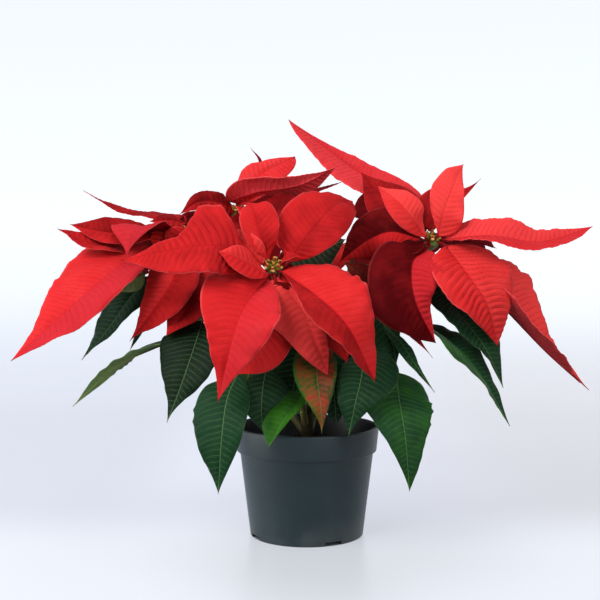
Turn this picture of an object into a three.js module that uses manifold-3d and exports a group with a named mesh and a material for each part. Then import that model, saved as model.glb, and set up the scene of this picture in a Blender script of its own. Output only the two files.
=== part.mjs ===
// A potted poinsettia: five red blooms on leafy stems that branch from one main stem in a plastic pot.
// Millimetres, +Z up. The origin is the middle of the pot's foot; the best side of the plant faces -Y.
import * as THREE from 'three';
import { mergeVertices } from 'three/addons/utils/BufferGeometryUtils.js';
import Module from 'manifold-3d';

const wasm = await Module();
wasm.setup();

// ---------- driving dimensions ----------
const POT = {
  height: 99, // floor to rim
  sides: 28,
  rimRadius: 65.5, // 13 cm nursery pot
  collarFootRadius: 63.2,
  collarHeight: 22.5,
  bodyTopRadius: 60.5,
  footRadius: 51.2,
  wall: 2.2,
  footRecess: 3, // depth of the channel between the foot's ring and its middle pad
  footRing: 4.5, // width of that ring
  footPad: 18, // radius of that pad
  floor: 3, // thickness of the pot's floor
  bevel: 0.6, // of the rim and of the inside corner
  edge: 1, // height of the rim's bevel and of the inside step
  slots: 4, // drain slots through the foot ring
  slotWidth: 16,
  slotHeight: 3.6,
  slotTurn: 27, // degrees from -Y to the first slot
  holes: 4, // drain holes in the floor
  holeRadius: 4,
  holeCircle: 27,
};
const FIT = 0.3; // clear gap where two pieces touch
const SOIL = {
  top: 80,
  shoulder: 3, // how far below its top the soil leaves the pot's wall
  rings: [0.93, 0.75, 0.5, 0.25], // where its top is split, as shares of its radius
  wave: 1.6, // how uneven its top is
  waveX: 7, // size of its humps along X and along Y
  waveY: 9,
  level: 12, // radius within which the humps fade toward the stem
};
const STEM = { radius: 5.4, foot: 48, top: 118, sides: 10, waist: 0.95, bevel: 1.5 };
const BRANCH = {
  radius: 3,
  sides: 6,
  steps: 7,
  socket: 3.2, // distance of its foot from the main stem's axis
  collar: [7, 9], // how far out and up it runs before it bends
};
const HUB = { radius: 7.6, depth: 5, top: 4.4, sides: 8 };
const CUP = { radius: 2.6, height: 6.5, ring: 4.7, sides: 5, around: 5, turn: 0.4 };
const LAYER = { start: 10, lift: 1, step: 5 }; // where far-side bracts begin, and how far up every second one
const BLADE = {
  edge: 0.8, // thickness at the edge and at the midrib
  rib: 1.3,
  tip: 1, // least width
  stalkWidth: 2.8,
  stalkDepth: 2.4,
  stalkRise: 0.35, // how much a stalk turns upward as it leaves its stem
  stalkEnd: 0.8, // its size where the blade begins, as a share
  stalkStep: 18, // length of one stretch of a stalk
  rowWidth: 10, // a blade has one row for each such stretch of its width
  fewestRows: 3,
  mostRows: 6,
  rolled: 40, // degrees of curl past which each half is split in two
  ripple: 0.025, // height of the waves of its edge, as a share of its width
};
const SWAY = 0.14; // how far a far-side blade bends off its line, as a share of its reach
const DEFAULTS = { fold: 15, curl: -20, fullest: 0.42, taper: 1.35, neck: 1, halves: 1, waves: 2.5 };

const PAINT = {
  pot: { color: '#3a4648', roughness: 0.45 },
  soil: { color: '#1c1512', roughness: 1 },
  wood: { color: '#6d6a45', roughness: 0.8 },
  leaf: { color: '#1f4a2c', roughness: 0.5 },
  bract: { color: '#d81f26', roughness: 0.55 },
  cyathia: { color: '#b9b13c', roughness: 0.6 },
};

// ---------- where each leafy stem runs ----------
// A stem leaves the main stem at `height`, bends through the middle points and carries its bloom at
// `hub`. `axis` is the way the bloom looks: [turn, lift] in degrees, turn 0 = -Y and positive toward
// +X, lift 0 = level and 90 = straight up.
const STEMS = {
  front: { height: 100, path: [[-6, -22, 134], [-18, -52, 188]], hub: [-28, -76, 241], axis: [0, 45] },
  right: { height: 106, path: [[24, -3, 133], [74, -14, 201]], hub: [110, -22, 264], axis: [5, 65] },
  left: { height: 94, path: [[-28, 2, 133], [-84, 8, 211]], hub: [-113, 12, 269], axis: [-10, 62] },
  back_left: { height: 112, path: [[-12, 20, 142], [-42, 54, 216]], hub: [-66, 74, 291], axis: [0, 72] },
  back_right: { height: 88, path: [[12, 24, 124], [34, 68, 189]], hub: [45, 90, 255], axis: [180, 70] },
};

// ---------- shapes ----------
const rad = THREE.MathUtils.degToRad;
const vec = (p) => new THREE.Vector3(...p);
const pair = (value) => (Array.isArray(value) ? value : [value, value]); // left half, right half

function look([turn, lift]) {
  const a = rad(turn);
  const e = rad(lift);
  return new THREE.Vector3(Math.sin(a) * Math.cos(e), -Math.cos(a) * Math.cos(e), Math.sin(e));
}

function solid(geometry) {
  const bare = geometry.clone();
  bare.deleteAttribute('normal');
  bare.deleteAttribute('uv');
  const merged = mergeVertices(bare, 1e-4);
  return new wasm.Manifold(new wasm.Mesh({
    numProp: 3,
    vertProperties: new Float32Array(merged.attributes.position.array),
    triVerts: new Uint32Array(merged.index.array),
  }));
}

function join(parts) {
  return parts.reduce((whole, part) => whole.add(part));
}

function mesh(name, body, paint) {
  const largest = body.decompose().reduce((a, b) => (a.volume() > b.volume() ? a : b));
  const data = largest.getMesh();
  const geometry = new THREE.BufferGeometry();
  geometry.setAttribute('position', new THREE.BufferAttribute(data.vertProperties, 3));
  geometry.setIndex(new THREE.BufferAttribute(data.triVerts, 1));
  geometry.computeVertexNormals();
  const made = new THREE.Mesh(geometry, new THREE.MeshStandardMaterial({ metalness: 0, ...paint }));
  made.name = name;
  return made;
}

function lathe(profile, segments) {
  const points = profile.map(([r, z]) => new THREE.Vector2(r, z));
  return new THREE.LatheGeometry(points, segments).rotateX(Math.PI / 2);
}

// A round rod along a list of points.
function rod(points, radius, sides, steps) {
  const section = new THREE.Shape(
    Array.from({ length: sides }, (_, i) => {
      const a = (2 * Math.PI * i) / sides;
      return new THREE.Vector2(radius * Math.cos(a), radius * Math.sin(a));
    }),
  );
  const path = new THREE.CatmullRomCurve3(points, false, 'catmullrom', 0.5);
  return solid(new THREE.ExtrudeGeometry(section, { steps, extrudePath: path, bevelEnabled: false }));
}

// ---------- a blade: leaf or bract with its stalk ----------
// Half width along the blade, 0 at the stalk and 1 at the tip, with its fullest place named.
function outline(blade, side, t) {
  const fullest = pair(blade.fullest)[side];
  const taper = pair(blade.taper)[side];
  const neck = (taper * fullest * pair(blade.neck)[side]) / (1 - fullest);
  const peak = neck / (neck + taper);
  const curve = (at) => Math.max(at, 1e-6) ** neck * Math.max(1 - at, 1e-6) ** taper;
  let width = curve(t) / curve(peak);
  for (const [where, place, reach, spread] of blade.corners ?? []) {
    if (where === side) width += reach * Math.max(0, 1 - Math.abs(t - place) / spread);
  }
  return (width * pair(blade.halves)[side] * blade.width) / 2;
}

// One cross-section: points from the left edge to the right edge, on a V that bends toward its edges.
function section(blade, centre, along, face, t, half) {
  const right = new THREE.Vector3().crossVectors(along, face).normalize();
  const up = new THREE.Vector3().crossVectors(right, along);
  const row = [];
  for (let i = -half; i <= half; i += 1) {
    const side = i < 0 ? 0 : 1;
    const v = Math.abs(i) / half;
    const fold = rad(pair(blade.fold)[side]);
    const curl = rad(pair(blade.curl)[side]);
    const width = Math.max(outline(blade, side, t), BLADE.tip / 2);
    const across = (width * (Math.sin(fold + curl * v) - Math.sin(fold))) / curl;
    const rise = (width * (Math.cos(fold) - Math.cos(fold + curl * v))) / curl;
    const ripple = blade.wave * Math.sin(2 * Math.PI * (blade.waves * t + 0.5 * side)) * v * v
      * Math.min(1, 4 * t, 4 * (1 - t));
    row.push({
      point: centre.clone().addScaledVector(right, Math.sign(i) * across).addScaledVector(up, rise + ripple),
      up,
      thick: THREE.MathUtils.lerp(BLADE.rib, BLADE.edge, v),
    });
  }
  return row;
}

function stalkSection(centre, along, face, half, width, depth) {
  const right = new THREE.Vector3().crossVectors(along, face).normalize();
  const up = new THREE.Vector3().crossVectors(right, along);
  const row = [];
  for (let i = -half; i <= half; i += 1) {
    row.push({
      point: centre.clone().addScaledVector(right, ((i / half) * width) / 2),
      up,
      thick: depth,
    });
  }
  return row;
}

// Rows of section points become a closed thin solid, split alike on its upper and its under side.
function skin(rows) {
  const count = rows[0].length;
  const points = [];
  for (const row of rows) {
    for (const { point, up, thick } of row) {
      points.push(...point.clone().addScaledVector(up, thick / 2));
      points.push(...point.clone().addScaledVector(up, -thick / 2));
    }
  }
  const top = (r, c) => 2 * (r * count + c);
  const under = (r, c) => top(r, c) + 1;
  const index = [];
  const quad = (a, b, c, d) => index.push(a, b, c, a, c, d);
  for (let r = 0; r < rows.length - 1; r += 1) {
    for (let c = 0; c < count - 1; c += 1) {
      quad(top(r, c), top(r, c + 1), top(r + 1, c + 1), top(r + 1, c));
      index.push(under(r, c), under(r + 1, c + 1), under(r, c + 1));
      index.push(under(r, c), under(r + 1, c), under(r + 1, c + 1));
    }
    quad(top(r, 0), top(r + 1, 0), under(r + 1, 0), under(r, 0));
    quad(top(r + 1, count - 1), top(r, count - 1), under(r, count - 1), under(r + 1, count - 1));
  }
  const last = rows.length - 1;
  for (let c = 0; c < count - 1; c += 1) {
    quad(top(0, c), under(0, c), under(0, c + 1), top(0, c + 1));
    quad(top(last, c + 1), under(last, c + 1), under(last, c), top(last, c));
  }
  const geometry = new THREE.BufferGeometry();
  geometry.setAttribute('position', new THREE.Float32BufferAttribute(points, 3));
  geometry.setIndex(index);
  return solid(geometry);
}

function bladeSolid(spec, root) {
  const blade = { ...DEFAULTS, wave: spec.width * BLADE.ripple, ...spec };
  const rib = new THREE.CatmullRomCurve3(blade.rib.map(vec), false, 'catmullrom', 0.5);
  const half = Math.max(...pair(blade.curl).map(Math.abs)) > BLADE.rolled ? 2 : 1;
  const rowCount = Math.round(blade.width / BLADE.rowWidth);
  const steps = THREE.MathUtils.clamp(rowCount, BLADE.fewestRows, BLADE.mostRows);
  const baseFace = look(blade.face);
  const tipFace = look(blade.tipFace ?? blade.face);
  const start = rib.getPoint(0);
  const heading = rib.getTangent(0);
  const reach = start.distanceTo(root);
  const upward = new THREE.Vector3(0, 0, BLADE.stalkRise);
  const outward = start.clone().sub(root).normalize().add(upward).normalize();
  const stalk = new THREE.CubicBezierCurve3(
    root,
    root.clone().addScaledVector(outward, reach / 3),
    start.clone().addScaledVector(heading, -reach / 3),
    start,
  );
  const stalkSteps = THREE.MathUtils.clamp(Math.round(reach / BLADE.stalkStep), 1, 3);
  const endWidth = BLADE.stalkWidth * BLADE.stalkEnd;
  const rows = [];
  for (let i = 0; i < stalkSteps; i += 1) {
    const u = i / stalkSteps;
    const width = THREE.MathUtils.lerp(BLADE.stalkWidth, endWidth, u);
    rows.push(stalkSection(stalk.getPoint(u), stalk.getTangent(u), baseFace, half, width, BLADE.stalkDepth));
  }
  rows.push(stalkSection(start, heading, baseFace, half, endWidth, BLADE.stalkDepth * BLADE.stalkEnd));
  for (let i = 1; i <= steps; i += 1) {
    const t = i / steps;
    const face = baseFace.clone().lerp(tipFace, t);
    rows.push(section(blade, rib.getPoint(t), rib.getTangent(t), face, t, half));
  }
  return skin(rows);
}

// ---------- bracts and leaves ----------
// `rib` is the line of the midrib from the blade's base to its tip, `face` is the way the upper side
// looks at the base ([turn, lift] as above) and `tipFace` the way it looks at the tip. `fold` is how
// far each half rises from the midrib and `curl` how far it bends on toward its edge, in degrees.
// `fullest` is the widest place along the blade, `taper` and `neck` how fast it narrows to its tip and
// its base, and `halves` how much of its half width each half has. `corners` are angular bulges of one
// edge: [half, place, reach, spread]. A pair of values is for the left and the right half, seen from
// the base with the upper side up.
const BRACTS = {
  front: {
    lower_left: {
      rib: [[-32, -84, 235], [-50, -115, 214], [-60, -128, 187], [-72, -118, 136]], width: 70,
      face: [-8, 35], fold: 20, fullest: [0.45, 0.3], taper: [1.5, 1.35], neck: [1, 0.8], halves: [1, 1.12],
    },
    lower_right: {
      rib: [[-22, -86, 240], [6, -122, 222], [31, -138, 198], [53, -126, 154]], width: 68, face: [22, 45],
      fold: 20, fullest: [0.38, 0.45], neck: [0.8, 1.5], taper: [0.9, 1.35], halves: [1.22, 0.75],
    },
    long_left: {
      rib: [[-38, -84, 241], [-69, -100, 261], [-111, -104, 258], [-153, -90, 249]], width: 74,
      face: [-15, 30], fold: 18, fullest: [0.48, 0.42], taper: [1.35, 1.3], neck: [0.9, 1.4],
      halves: [0.8, 0.29], corners: [[1, 0.47, 2, 0.14], [1, 0.36, 2, 0.14]],
    },
    folded_up: {
      rib: [[-32, -78, 249], [-39, -82, 268], [-44, -70, 287], [-50, -50, 298]], width: 40, face: [0, 35],
      fold: 35, fullest: 0.5, halves: [0.8, 1],
    },
    upper_right: {
      rib: [[-16, -76, 247], [-1, -76, 269], [22, -52, 295], [41, -8, 301]], width: 56, face: [5, 35],
      fold: 12, fullest: [0.5, 0.55], halves: [1.1, 0.9], taper: [1.1, 1.2], neck: [0.8, 0.8],
    },
    hanging: {
      rib: [[-24, -82, 236], [-5, -104, 210], [7, -110, 182], [17, -102, 156]], width: 46, face: [5, 30],
      fullest: [0.5, 0.42], neck: [1.2, 0.5], corners: [[1, 0.4, 0.15, 0.1]], taper: [1.35, 1],
      halves: [0.5, 1.17],
    },
    hanging_right: {
      rib: [[-21, -78, 237], [7, -90, 208], [24, -94, 189], [33, -86, 164]], width: 44, face: [10, 30],
      fold: 20,
    },
    behind_lower_left: {
      rib: [[-28, -86, 230], [-29, -97, 205], [-39, -98, 177], [-58, -90, 155]], width: 58, face: [0, 25],
      fullest: 0.55, halves: [0.8, 1],
    },
    tiny_right: {
      rib: [[-22, -84, 246], [-15, -88, 251], [-6, -88, 253]], width: 13, face: [0, 60], fold: 30,
    },
    small_left: {
      rib: [[-37, -80, 246], [-47, -86, 258], [-57, -82, 268], [-68, -72, 273]], width: 24,
      face: [-10, 30], fold: 30, neck: 0.7,
    },
    base_lobe: {
      rib: [[-32, -86, 237], [-46, -100, 246], [-59, -108, 253], [-72, -110, 257]], width: 30,
      face: [-15, 40], fold: 10,
    },
    dark_under: {
      rib: [[-26, -88, 232], [-19, -96, 217], [-13, -100, 200], [-9, -98, 181]], width: 40, face: [5, 30],
      fold: 10,
    },
  },
  right: {
    upright: {
      rib: [[114, -30, 270], [118, -38, 291], [127, -30, 313], [140, -4, 334]], width: 40, face: [0, 25],
      fold: 10, fullest: [0.6, 0.28], halves: [0.85, 0.92], taper: [1, 1.35],
    },
    upper_left: {
      rib: [[104, -32, 268], [90, -45, 286], [77, -40, 301], [62, -20, 314]], width: 38, face: [-5, 35],
      fold: 12, fullest: 0.45, halves: [0.8, 0.87],
    },
    behind_upright: {
      rib: [[110, -15, 273], [122, 12, 296], [144, 30, 307], [163, 40, 324]], width: 44, face: [0, 30],
      fold: 20, halves: [1, 0.3], fullest: [0.28, 0.3], taper: [2.2, 2],
    },
    long_right: {
      rib: [[120, -28, 267], [157, -50, 270], [200, -50, 265], [248, -35, 278]], width: 50, face: [0, 75],
      fold: [55, 9], fullest: [0.3, 0.5], halves: [0.78, 0.9], taper: [1.5, 1],
      corners: [[0, 0.7, 0.14, 0.3]],
    },
    lower_right: {
      rib: [[121, -32, 261], [135, -58, 238], [151, -68, 212], [162, -58, 176]], width: 62, face: [15, 40],
      fold: 16, fullest: [0.36, 0.4], halves: [1.3, 1.12], taper: [1, 1.35],
    },
    far_right: {
      rib: [[123, -20, 256], [168, -35, 212], [210, -30, 169], [251, -20, 133]], width: 58, face: [65, 35],
      fold: 45, fullest: [0.35, 0.42], corners: [[0, 0.22, 0.6, 0.2], [0, 0.38, 0.5, 0.17]],
      taper: [1.7, 1.35],
    },
    dark_lower: {
      rib: [[104, -34, 258], [89, -58, 246], [90, -74, 216], [109, -64, 179]], width: 70, face: [0, 35],
      fold: 20, fullest: [0.3, 0.52], halves: [0.8, 1.08], taper: [1.35, 1.05],
      corners: [[1, 0.66, 0.22, 0.14]],
    },
    tiny_left: {
      rib: [[102, -34, 263], [91, -42, 261], [82, -44, 258], [77, -40, 252]], width: 18, face: [-20, 40],
      fold: 10,
    },
    rolled_left: {
      rib: [[100, -25, 267], [75, -20, 274], [53, -14, 266], [29, -16, 247]], width: 58, face: [-10, 35],
      fold: 10, curl: [-95, -20], fullest: 0.45,
    },
    highest: {
      rib: [[105, -5, 270], [86, 25, 302], [42, 55, 336], [-17, 70, 382]], width: 50, face: [-10, 40],
      fold: 25, fullest: [0.6, 0.33], halves: [0.95, 0.74], taper: [0.85, 1.6],
    },
    behind_upper_left: {
      rib: [[100, -18, 268], [84, -2, 290], [67, 10, 307], [50, 25, 329]], width: 46, face: [-10, 30],
    },
    narrow_lower: {
      rib: [[98, -36, 257], [83, -55, 223], [86, -56, 194], [108, -50, 165]], width: 26, face: [0, 20],
      fold: 20, fullest: 0.35, taper: 2.1,
    },
    dark_left: {
      rib: [[101, -12, 268], [80, -2, 283], [59, 4, 291], [39, 6, 288]], width: 36, face: [-5, 30],
      fold: 5, halves: [1, 1.4], fullest: [0.42, 0.65],
    },
  },
  left: {
    long_left: {
      rib: [[-122, 2, 267], [-158, -45, 247], [-197, -85, 210], [-243, -95, 167]], width: 75,
      face: [-25, 45], fold: 12, fullest: [0.52, 0.35], halves: [0.86, 1.32], taper: [1.2, 1.35],
    },
    outer: {
      rib: [[-124, 5, 274], [-152, -15, 272], [-180, -25, 274], [-208, -25, 280]], width: 36,
      face: [-10, 40], fold: 25, fullest: 0.5, halves: [1, 0.9],
    },
    outer_low: {
      rib: [[-128, 0, 267], [-162, -20, 259], [-190, -35, 264], [-216, -40, 276]], width: 34,
      face: [-10, 60], fold: 20, fullest: 0.5, halves: [0.9, 1],
    },
    bent_forward: {
      rib: [[-122, 0, 274], [-136, -28, 277], [-148, -48, 275], [-154, -57, 252]], width: 50,
      face: [-42, 80], tipFace: [-32, 0], fullest: 0.68, taper: 1.7, neck: 0.4, halves: [0.9, 1.3],
    },
    high_edge_on: {
      rib: [[-115, 25, 289], [-137, 15, 290], [-168, 10, 294], [-202, 5, 311]], width: 24, face: [-10, 75],
      fold: [3, 8], fullest: 0.3, halves: [1, 1.3],
    },
    inner_striped: {
      rib: [[-113, 5, 272], [-120, -12, 270], [-128, -22, 263], [-133, -24, 254]], width: 30,
      face: [-10, 20], fold: 20,
    },
    inner_low: {
      rib: [[-109, 0, 277], [-113, -15, 268], [-119, -24, 260], [-129, -28, 254]], width: 26,
      face: [20, 20], fold: 20,
    },
    hanging: {
      rib: [[-113, 0, 262], [-117, -42, 232], [-132, -58, 206], [-151, -60, 180]], width: 58,
      face: [-20, 30], fold: 20, fullest: 0.45, halves: [1.05, 0.8], taper: [1.8, 1.35], neck: [1, 0.4],
    },
    hanging_inner: {
      rib: [[-93, -25, 248], [-98, -45, 225], [-104, -60, 206], [-119, -70, 185]], width: 44,
      face: [-10, 20], fold: 10, fullest: 0.5, neck: [0.6, 1],
    },
    dark_notch: {
      rib: [[-110, 6, 281], [-120, -2, 284], [-130, -8, 284], [-140, -12, 283]], width: 18,
      face: [-10, 40], fold: 5,
    },
  },
  back_left: {
    bright_upper: {
      rib: [[-67, 70, 301], [-55, 62, 319], [-38, 62, 333], [-11, 70, 347]], width: 46, face: [0, 30],
      halves: [0.66, 0.92], fullest: [0.45, 0.55], taper: [1.2, 0.55],
    },
    turned_over: {
      rib: [[-75, 66, 304], [-46, 50, 312], [-6, 38, 318], [27, 28, 334]], width: 44, face: [180, 55],
      neck: 0.6, halves: [1.05, 0.95], fullest: [0.52, 0.42], taper: [1, 1.35],
    },
    dark_left: {
      rib: [[-68, 72, 296], [-81, 58, 302], [-101, 50, 303], [-119, 42, 291]], width: 34, face: [-10, 30],
      fold: 10, halves: [1, 0.74],
    },
    wavy_front: {
      rib: [[-64, 60, 293], [-59, 35, 284], [-52, 20, 275], [-41, 10, 271]], width: 40, face: [0, 30],
      fold: 10,
    },
    dark_right: {
      rib: [[-60, 60, 293], [-36, 38, 294], [-11, 30, 296], [17, 22, 292]], width: 34, face: [0, 30],
      fold: 10,
    },
    small_spike: {
      rib: [[-40, 66, 298], [-8, 60, 306], [14, 54, 315], [33, 45, 321]], width: 12, face: [0, 60],
    },
    thin_spike: {
      rib: [[-61, 85, 302], [-52, 95, 321], [-45, 100, 343], [-55, 102, 358]], width: 5, face: [0, 30],
      fold: 10,
    },
  },
  back_right: {},
};

// Bracts on the far side arch out from the bloom: [plan, reach, rise, drop, width]. `plan` is the
// compass in degrees from +X toward +Y, and the tip ends `rise - drop` above the blade's base.
const ARCHED_BRACTS = {
  front: [[112, 44, -2, 24, 28]],
  right: [[28, 66, 8, 14, 34], [62, 120, 10, 85, 58], [98, 95, 15, 70, 52]],
  left: [[100, 105, 5, 75, 56], [140, 120, 0, 70, 58], [165, 85, -5, 40, 44], [0, 64, 0, 32, 40],
    [48, 62, 12, 34, 40]],
  back_left: [[75, 120, 10, 75, 60], [110, 125, 15, 85, 62], [145, 130, 10, 85, 60], [178, 72, -2, 21, 42],
    [95, 60, 25, 30, 38], [-62, 66, 4, 42, 42]],
  back_right: [[5, 95, 20, 60, 52], [38, 120, 30, 85, 60], [72, 135, 35, 110, 64], [105, 125, 30, 95, 60],
    [140, 115, 30, 90, 58], [60, 60, 45, 40, 40], [175, 70, 25, 45, 40], [-60, 50, 20, 25, 34],
    [215, 72, 22, 32, 42], [-95, 80, 10, 35, 50]],
};

// Leaves hang on long stalks. `at` is the place on the leafy stem that the stalk grows from, 0 to 1.
const LEAVES = {
  front: {
    low_left: {
      rib: [[-58, -78, 155], [-66, -102, 135], [-70, -113, 98], [-73, -101, 58]], width: 54,
      face: [-5, 25], fold: 8, fullest: [0.38, 0.4], halves: [0.72, 0.93], at: 0.35, taper: [1.35, 1.35],
      neck: [1, 1.15],
    },
    short_left: {
      rib: [[-34, -68, 160], [-37, -82, 144], [-38, -88, 126], [-37, -84, 107]], width: 38, face: [0, 25],
      fold: 8, at: 0.45, fullest: [0.35, 0.45], taper: [3, 1.2], halves: [1.15, 0.9],
    },
    bright_low: {
      rib: [[-1, -56, 147], [-6, -76, 133], [-20, -88, 117], [-32, -84, 94]], width: 44, face: [-10, 30],
      fold: 8, halves: [0.25, 1.1], at: 0.25, fullest: [0.4, 0.55], taper: [1.2, 0.8],
    },
    low_middle: {
      rib: [[49, -55, 176], [45, -85, 154], [39, -98, 132], [34, -92, 104]], width: 62, face: [0, 25],
      fullest: [0.3, 0.42], taper: [1.9, 1.35], halves: [1, 0.62], at: 0.6,
    },
    turning_red: {
      rib: [[8, -75, 179], [8, -95, 154], [11, -100, 130], [12, -92, 106]], width: 40, face: [0, 20],
      fold: 20, fullest: 0.25, halves: [0.85, 1], at: 0.65, taper: 1.8,
    },
    upper_dark: {
      rib: [[-15, -12, 247], [0, -17, 252], [16, -22, 259], [34, -25, 267]], width: 54, face: [0, 40],
      fold: 10, at: 0.85,
    },
    dark_inner: {
      rib: [[-6, -50, 181], [-8, -60, 160], [-12, -68, 140], [-17, -68, 115]], width: 44, face: [0, 25],
      fold: 8, at: 0.55,
    },
    dark_right: {
      rib: [[18, -40, 184], [22, -50, 162], [23, -56, 139], [25, -56, 109]], width: 42, face: [5, 25],
      fold: 8, at: 0.5, taper: 0.9,
    },
  },
  right: {
    big_low: {
      rib: [[77, -45, 152], [77, -80, 132], [81, -93, 102], [85, -85, 57]], width: 60, face: [10, 30],
      fold: 8, fullest: [0.44, 0.37], halves: [0.92, 0.93], neck: [0.6, 0.8], at: 0.3, taper: [0.95, 1.5],
      corners: [[1, 0.36, 0.15, 0.12]],
    },
    small_inner: {
      rib: [[64, -30, 195], [81, -45, 178], [93, -55, 159], [110, -50, 135]], width: 26, face: [10, 40],
      fold: 10, halves: [0.42, 0.6], at: 0.5, taper: 1.9,
    },
    far_low: {
      rib: [[102, -15, 193], [125, -40, 178], [149, -50, 151], [176, -45, 105]], width: 50, face: [45, 45],
      fold: 25, halves: [0.75, 1], at: 0.6,
    },
    far_dark: {
      rib: [[114, -20, 227], [134, -45, 200], [154, -55, 171], [169, -50, 139]], width: 52, face: [25, 40],
      fold: 10, halves: [1, 0.75], at: 0.8, fullest: [0.42, 0.25], taper: [1.35, 1.9], neck: [1, 0.7],
    },
    inner_dark: {
      rib: [[56, -15, 213], [65, -30, 197], [74, -38, 177], [78, -38, 157]], width: 44, face: [10, 30],
      fold: 10, at: 0.7, halves: [0.5, 1],
    },
    dark_top: {
      rib: [[70, 0, 216], [58, -4, 227], [47, -6, 237], [33, -6, 247]], width: 30, face: [-5, 35], fold: 8,
      at: 0.75,
    },
  },
  left: {
    outer: {
      rib: [[-140, -10, 235], [-155, -30, 216], [-174, -40, 188], [-196, -40, 162]], width: 48,
      face: [-30, 50], fold: 10, halves: [0.8, 1], at: 0.85, fullest: [0.28, 0.42], taper: [1.8, 1.35],
    },
    outer_fold: {
      rib: [[-142, -26, 237], [-151, -30, 233], [-160, -34, 228], [-171, -38, 221]], width: 24,
      face: [180, -20], fold: 5, at: 0.85,
    },
    turned_over: {
      rib: [[-115, -15, 179], [-136, -42, 172], [-164, -60, 158], [-199, -65, 125]], width: 54,
      face: [160, 60], fold: 10, neck: 0.6, at: 0.6, halves: [1.05, 1.08], fullest: [0.3, 0.3],
      taper: [1.35, 1.6],
    },
    broad_low: {
      rib: [[-90, -46, 197], [-95, -70, 177], [-104, -84, 148], [-117, -82, 114]], width: 56,
      face: [-10, 30], fold: 10, halves: [0.85, 1.06], at: 0.7, fullest: [0.42, 0.34], taper: [2.1, 1.35],
    },
    thin_tip: {
      rib: [[-133, -30, 210], [-143, -34, 192], [-149, -34, 181], [-155, -34, 170]], width: 6,
      face: [-10, 30], at: 0.75,
    },
  },
  back_left: {},
  back_right: {},
};

// Far-side leaves: [at, base of the blade, plan, reach, rise, drop, width].
const ARCHED_LEAVES = {
  front: [[0.62, [-32, -16, 197], 104, 46, 0, 30, 36]],
  right: [[0.55, [56, 25, 189], 78, 60, -5, 35, 42]],
  left: [[0.55, [-70, 35, 184], 170, 62, -10, 45, 50]],
  back_left: [[0.7, [-25, 85, 193], 105, 100, -5, 95, 64], [0.8, [-70, 60, 208], 150, 78, -5, 62, 58],
    [0.45, [-50, 60, 153], 100, 75, -10, 70, 52]],
  back_right: [[0.7, [50, 60, 200], 45, 58, 0, 36, 46], [0.8, [25, 85, 183], 75, 100, -5, 95, 66],
    [0.5, [10, 60, 153], 90, 85, -5, 85, 56], [0.5, [50, 50, 154], 55, 70, -10, 70, 50],
    [0.6, [12, 42, 208], -100, 72, 0, 40, 54]],
};

// ---------- pot and soil ----------
function pot() {
  const { height, rimRadius, collarHeight, wall, footRecess, footRing, floor, bevel, edge } = POT;
  const step = height - collarHeight;
  const body = solid(lathe([
    [0, 0],
    [POT.footPad, 0],
    [POT.footPad + edge, footRecess],
    [POT.footRadius - footRing, footRecess],
    [POT.footRadius - footRing, 0],
    [POT.footRadius, 0],
    [POT.bodyTopRadius, step],
    [POT.collarFootRadius, step],
    [rimRadius, height - edge],
    [rimRadius - bevel, height],
    [rimRadius - wall - bevel, height],
    [rimRadius - wall - edge, height - edge],
    [POT.collarFootRadius - wall, step + edge],
    [POT.bodyTopRadius - wall, step - edge],
    [POT.footRadius - wall + bevel, footRecess + floor],
    [0, footRecess + floor],
  ], POT.sides));
  const cutters = [];
  for (let i = 0; i < POT.slots; i += 1) {
    const turn = rad(POT.slotTurn + (360 * i) / POT.slots);
    const slot = new THREE.BoxGeometry(POT.slotWidth, footRing * 4, POT.slotHeight * 2);
    slot.translate(0, -POT.footRadius, 0);
    cutters.push(solid(slot.rotateZ(turn)));
  }
  for (let i = 0; i < POT.holes; i += 1) {
    const turn = (2 * Math.PI * (i + 0.5)) / POT.holes;
    const hole = new THREE.CylinderGeometry(POT.holeRadius, POT.holeRadius, 4 * floor, 12);
    hole.rotateX(Math.PI / 2);
    hole.translate(POT.holeCircle * Math.cos(turn), POT.holeCircle * Math.sin(turn), footRecess);
    cutters.push(solid(hole));
  }
  return cutters.reduce((whole, cutter) => whole.subtract(cutter), body);
}

// Radius of the pot's inside at a height below its collar.
function insideRadius(z) {
  const low = POT.footRecess + POT.floor;
  const high = POT.height - POT.collarHeight - POT.edge;
  const share = THREE.MathUtils.clamp((z - low) / (high - low), 0, 1);
  return THREE.MathUtils.lerp(POT.footRadius - POT.wall + POT.bevel, POT.bodyTopRadius - POT.wall, share);
}

function soil() {
  const low = POT.footRecess + POT.floor + FIT;
  const profile = [[0, low]];
  for (const z of [low, SOIL.top - SOIL.shoulder]) profile.push([insideRadius(z) - FIT, z]);
  for (const share of SOIL.rings) profile.push([share * (insideRadius(SOIL.top) - FIT), SOIL.top]);
  profile.push([0, SOIL.top]);
  const geometry = lathe(profile, POT.sides);
  const position = geometry.attributes.position;
  for (let i = 0; i < position.count; i += 1) {
    const [x, y, z] = [position.getX(i), position.getY(i), position.getZ(i)];
    const r = Math.hypot(x, y);
    if (z > SOIL.top - 0.01 && r > 1) {
      const hump = SOIL.wave * Math.sin(x / SOIL.waveX + 1) * Math.cos(y / SOIL.waveY);
      position.setZ(i, z + hump * Math.min(1, r / SOIL.level));
    }
  }
  const hole = new THREE.CylinderGeometry(STEM.radius + FIT, STEM.radius + FIT, STEM.top, STEM.sides);
  hole.rotateX(Math.PI / 2);
  hole.translate(0, 0, STEM.foot - FIT + STEM.top / 2);
  return solid(geometry).subtract(solid(hole));
}

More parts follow.
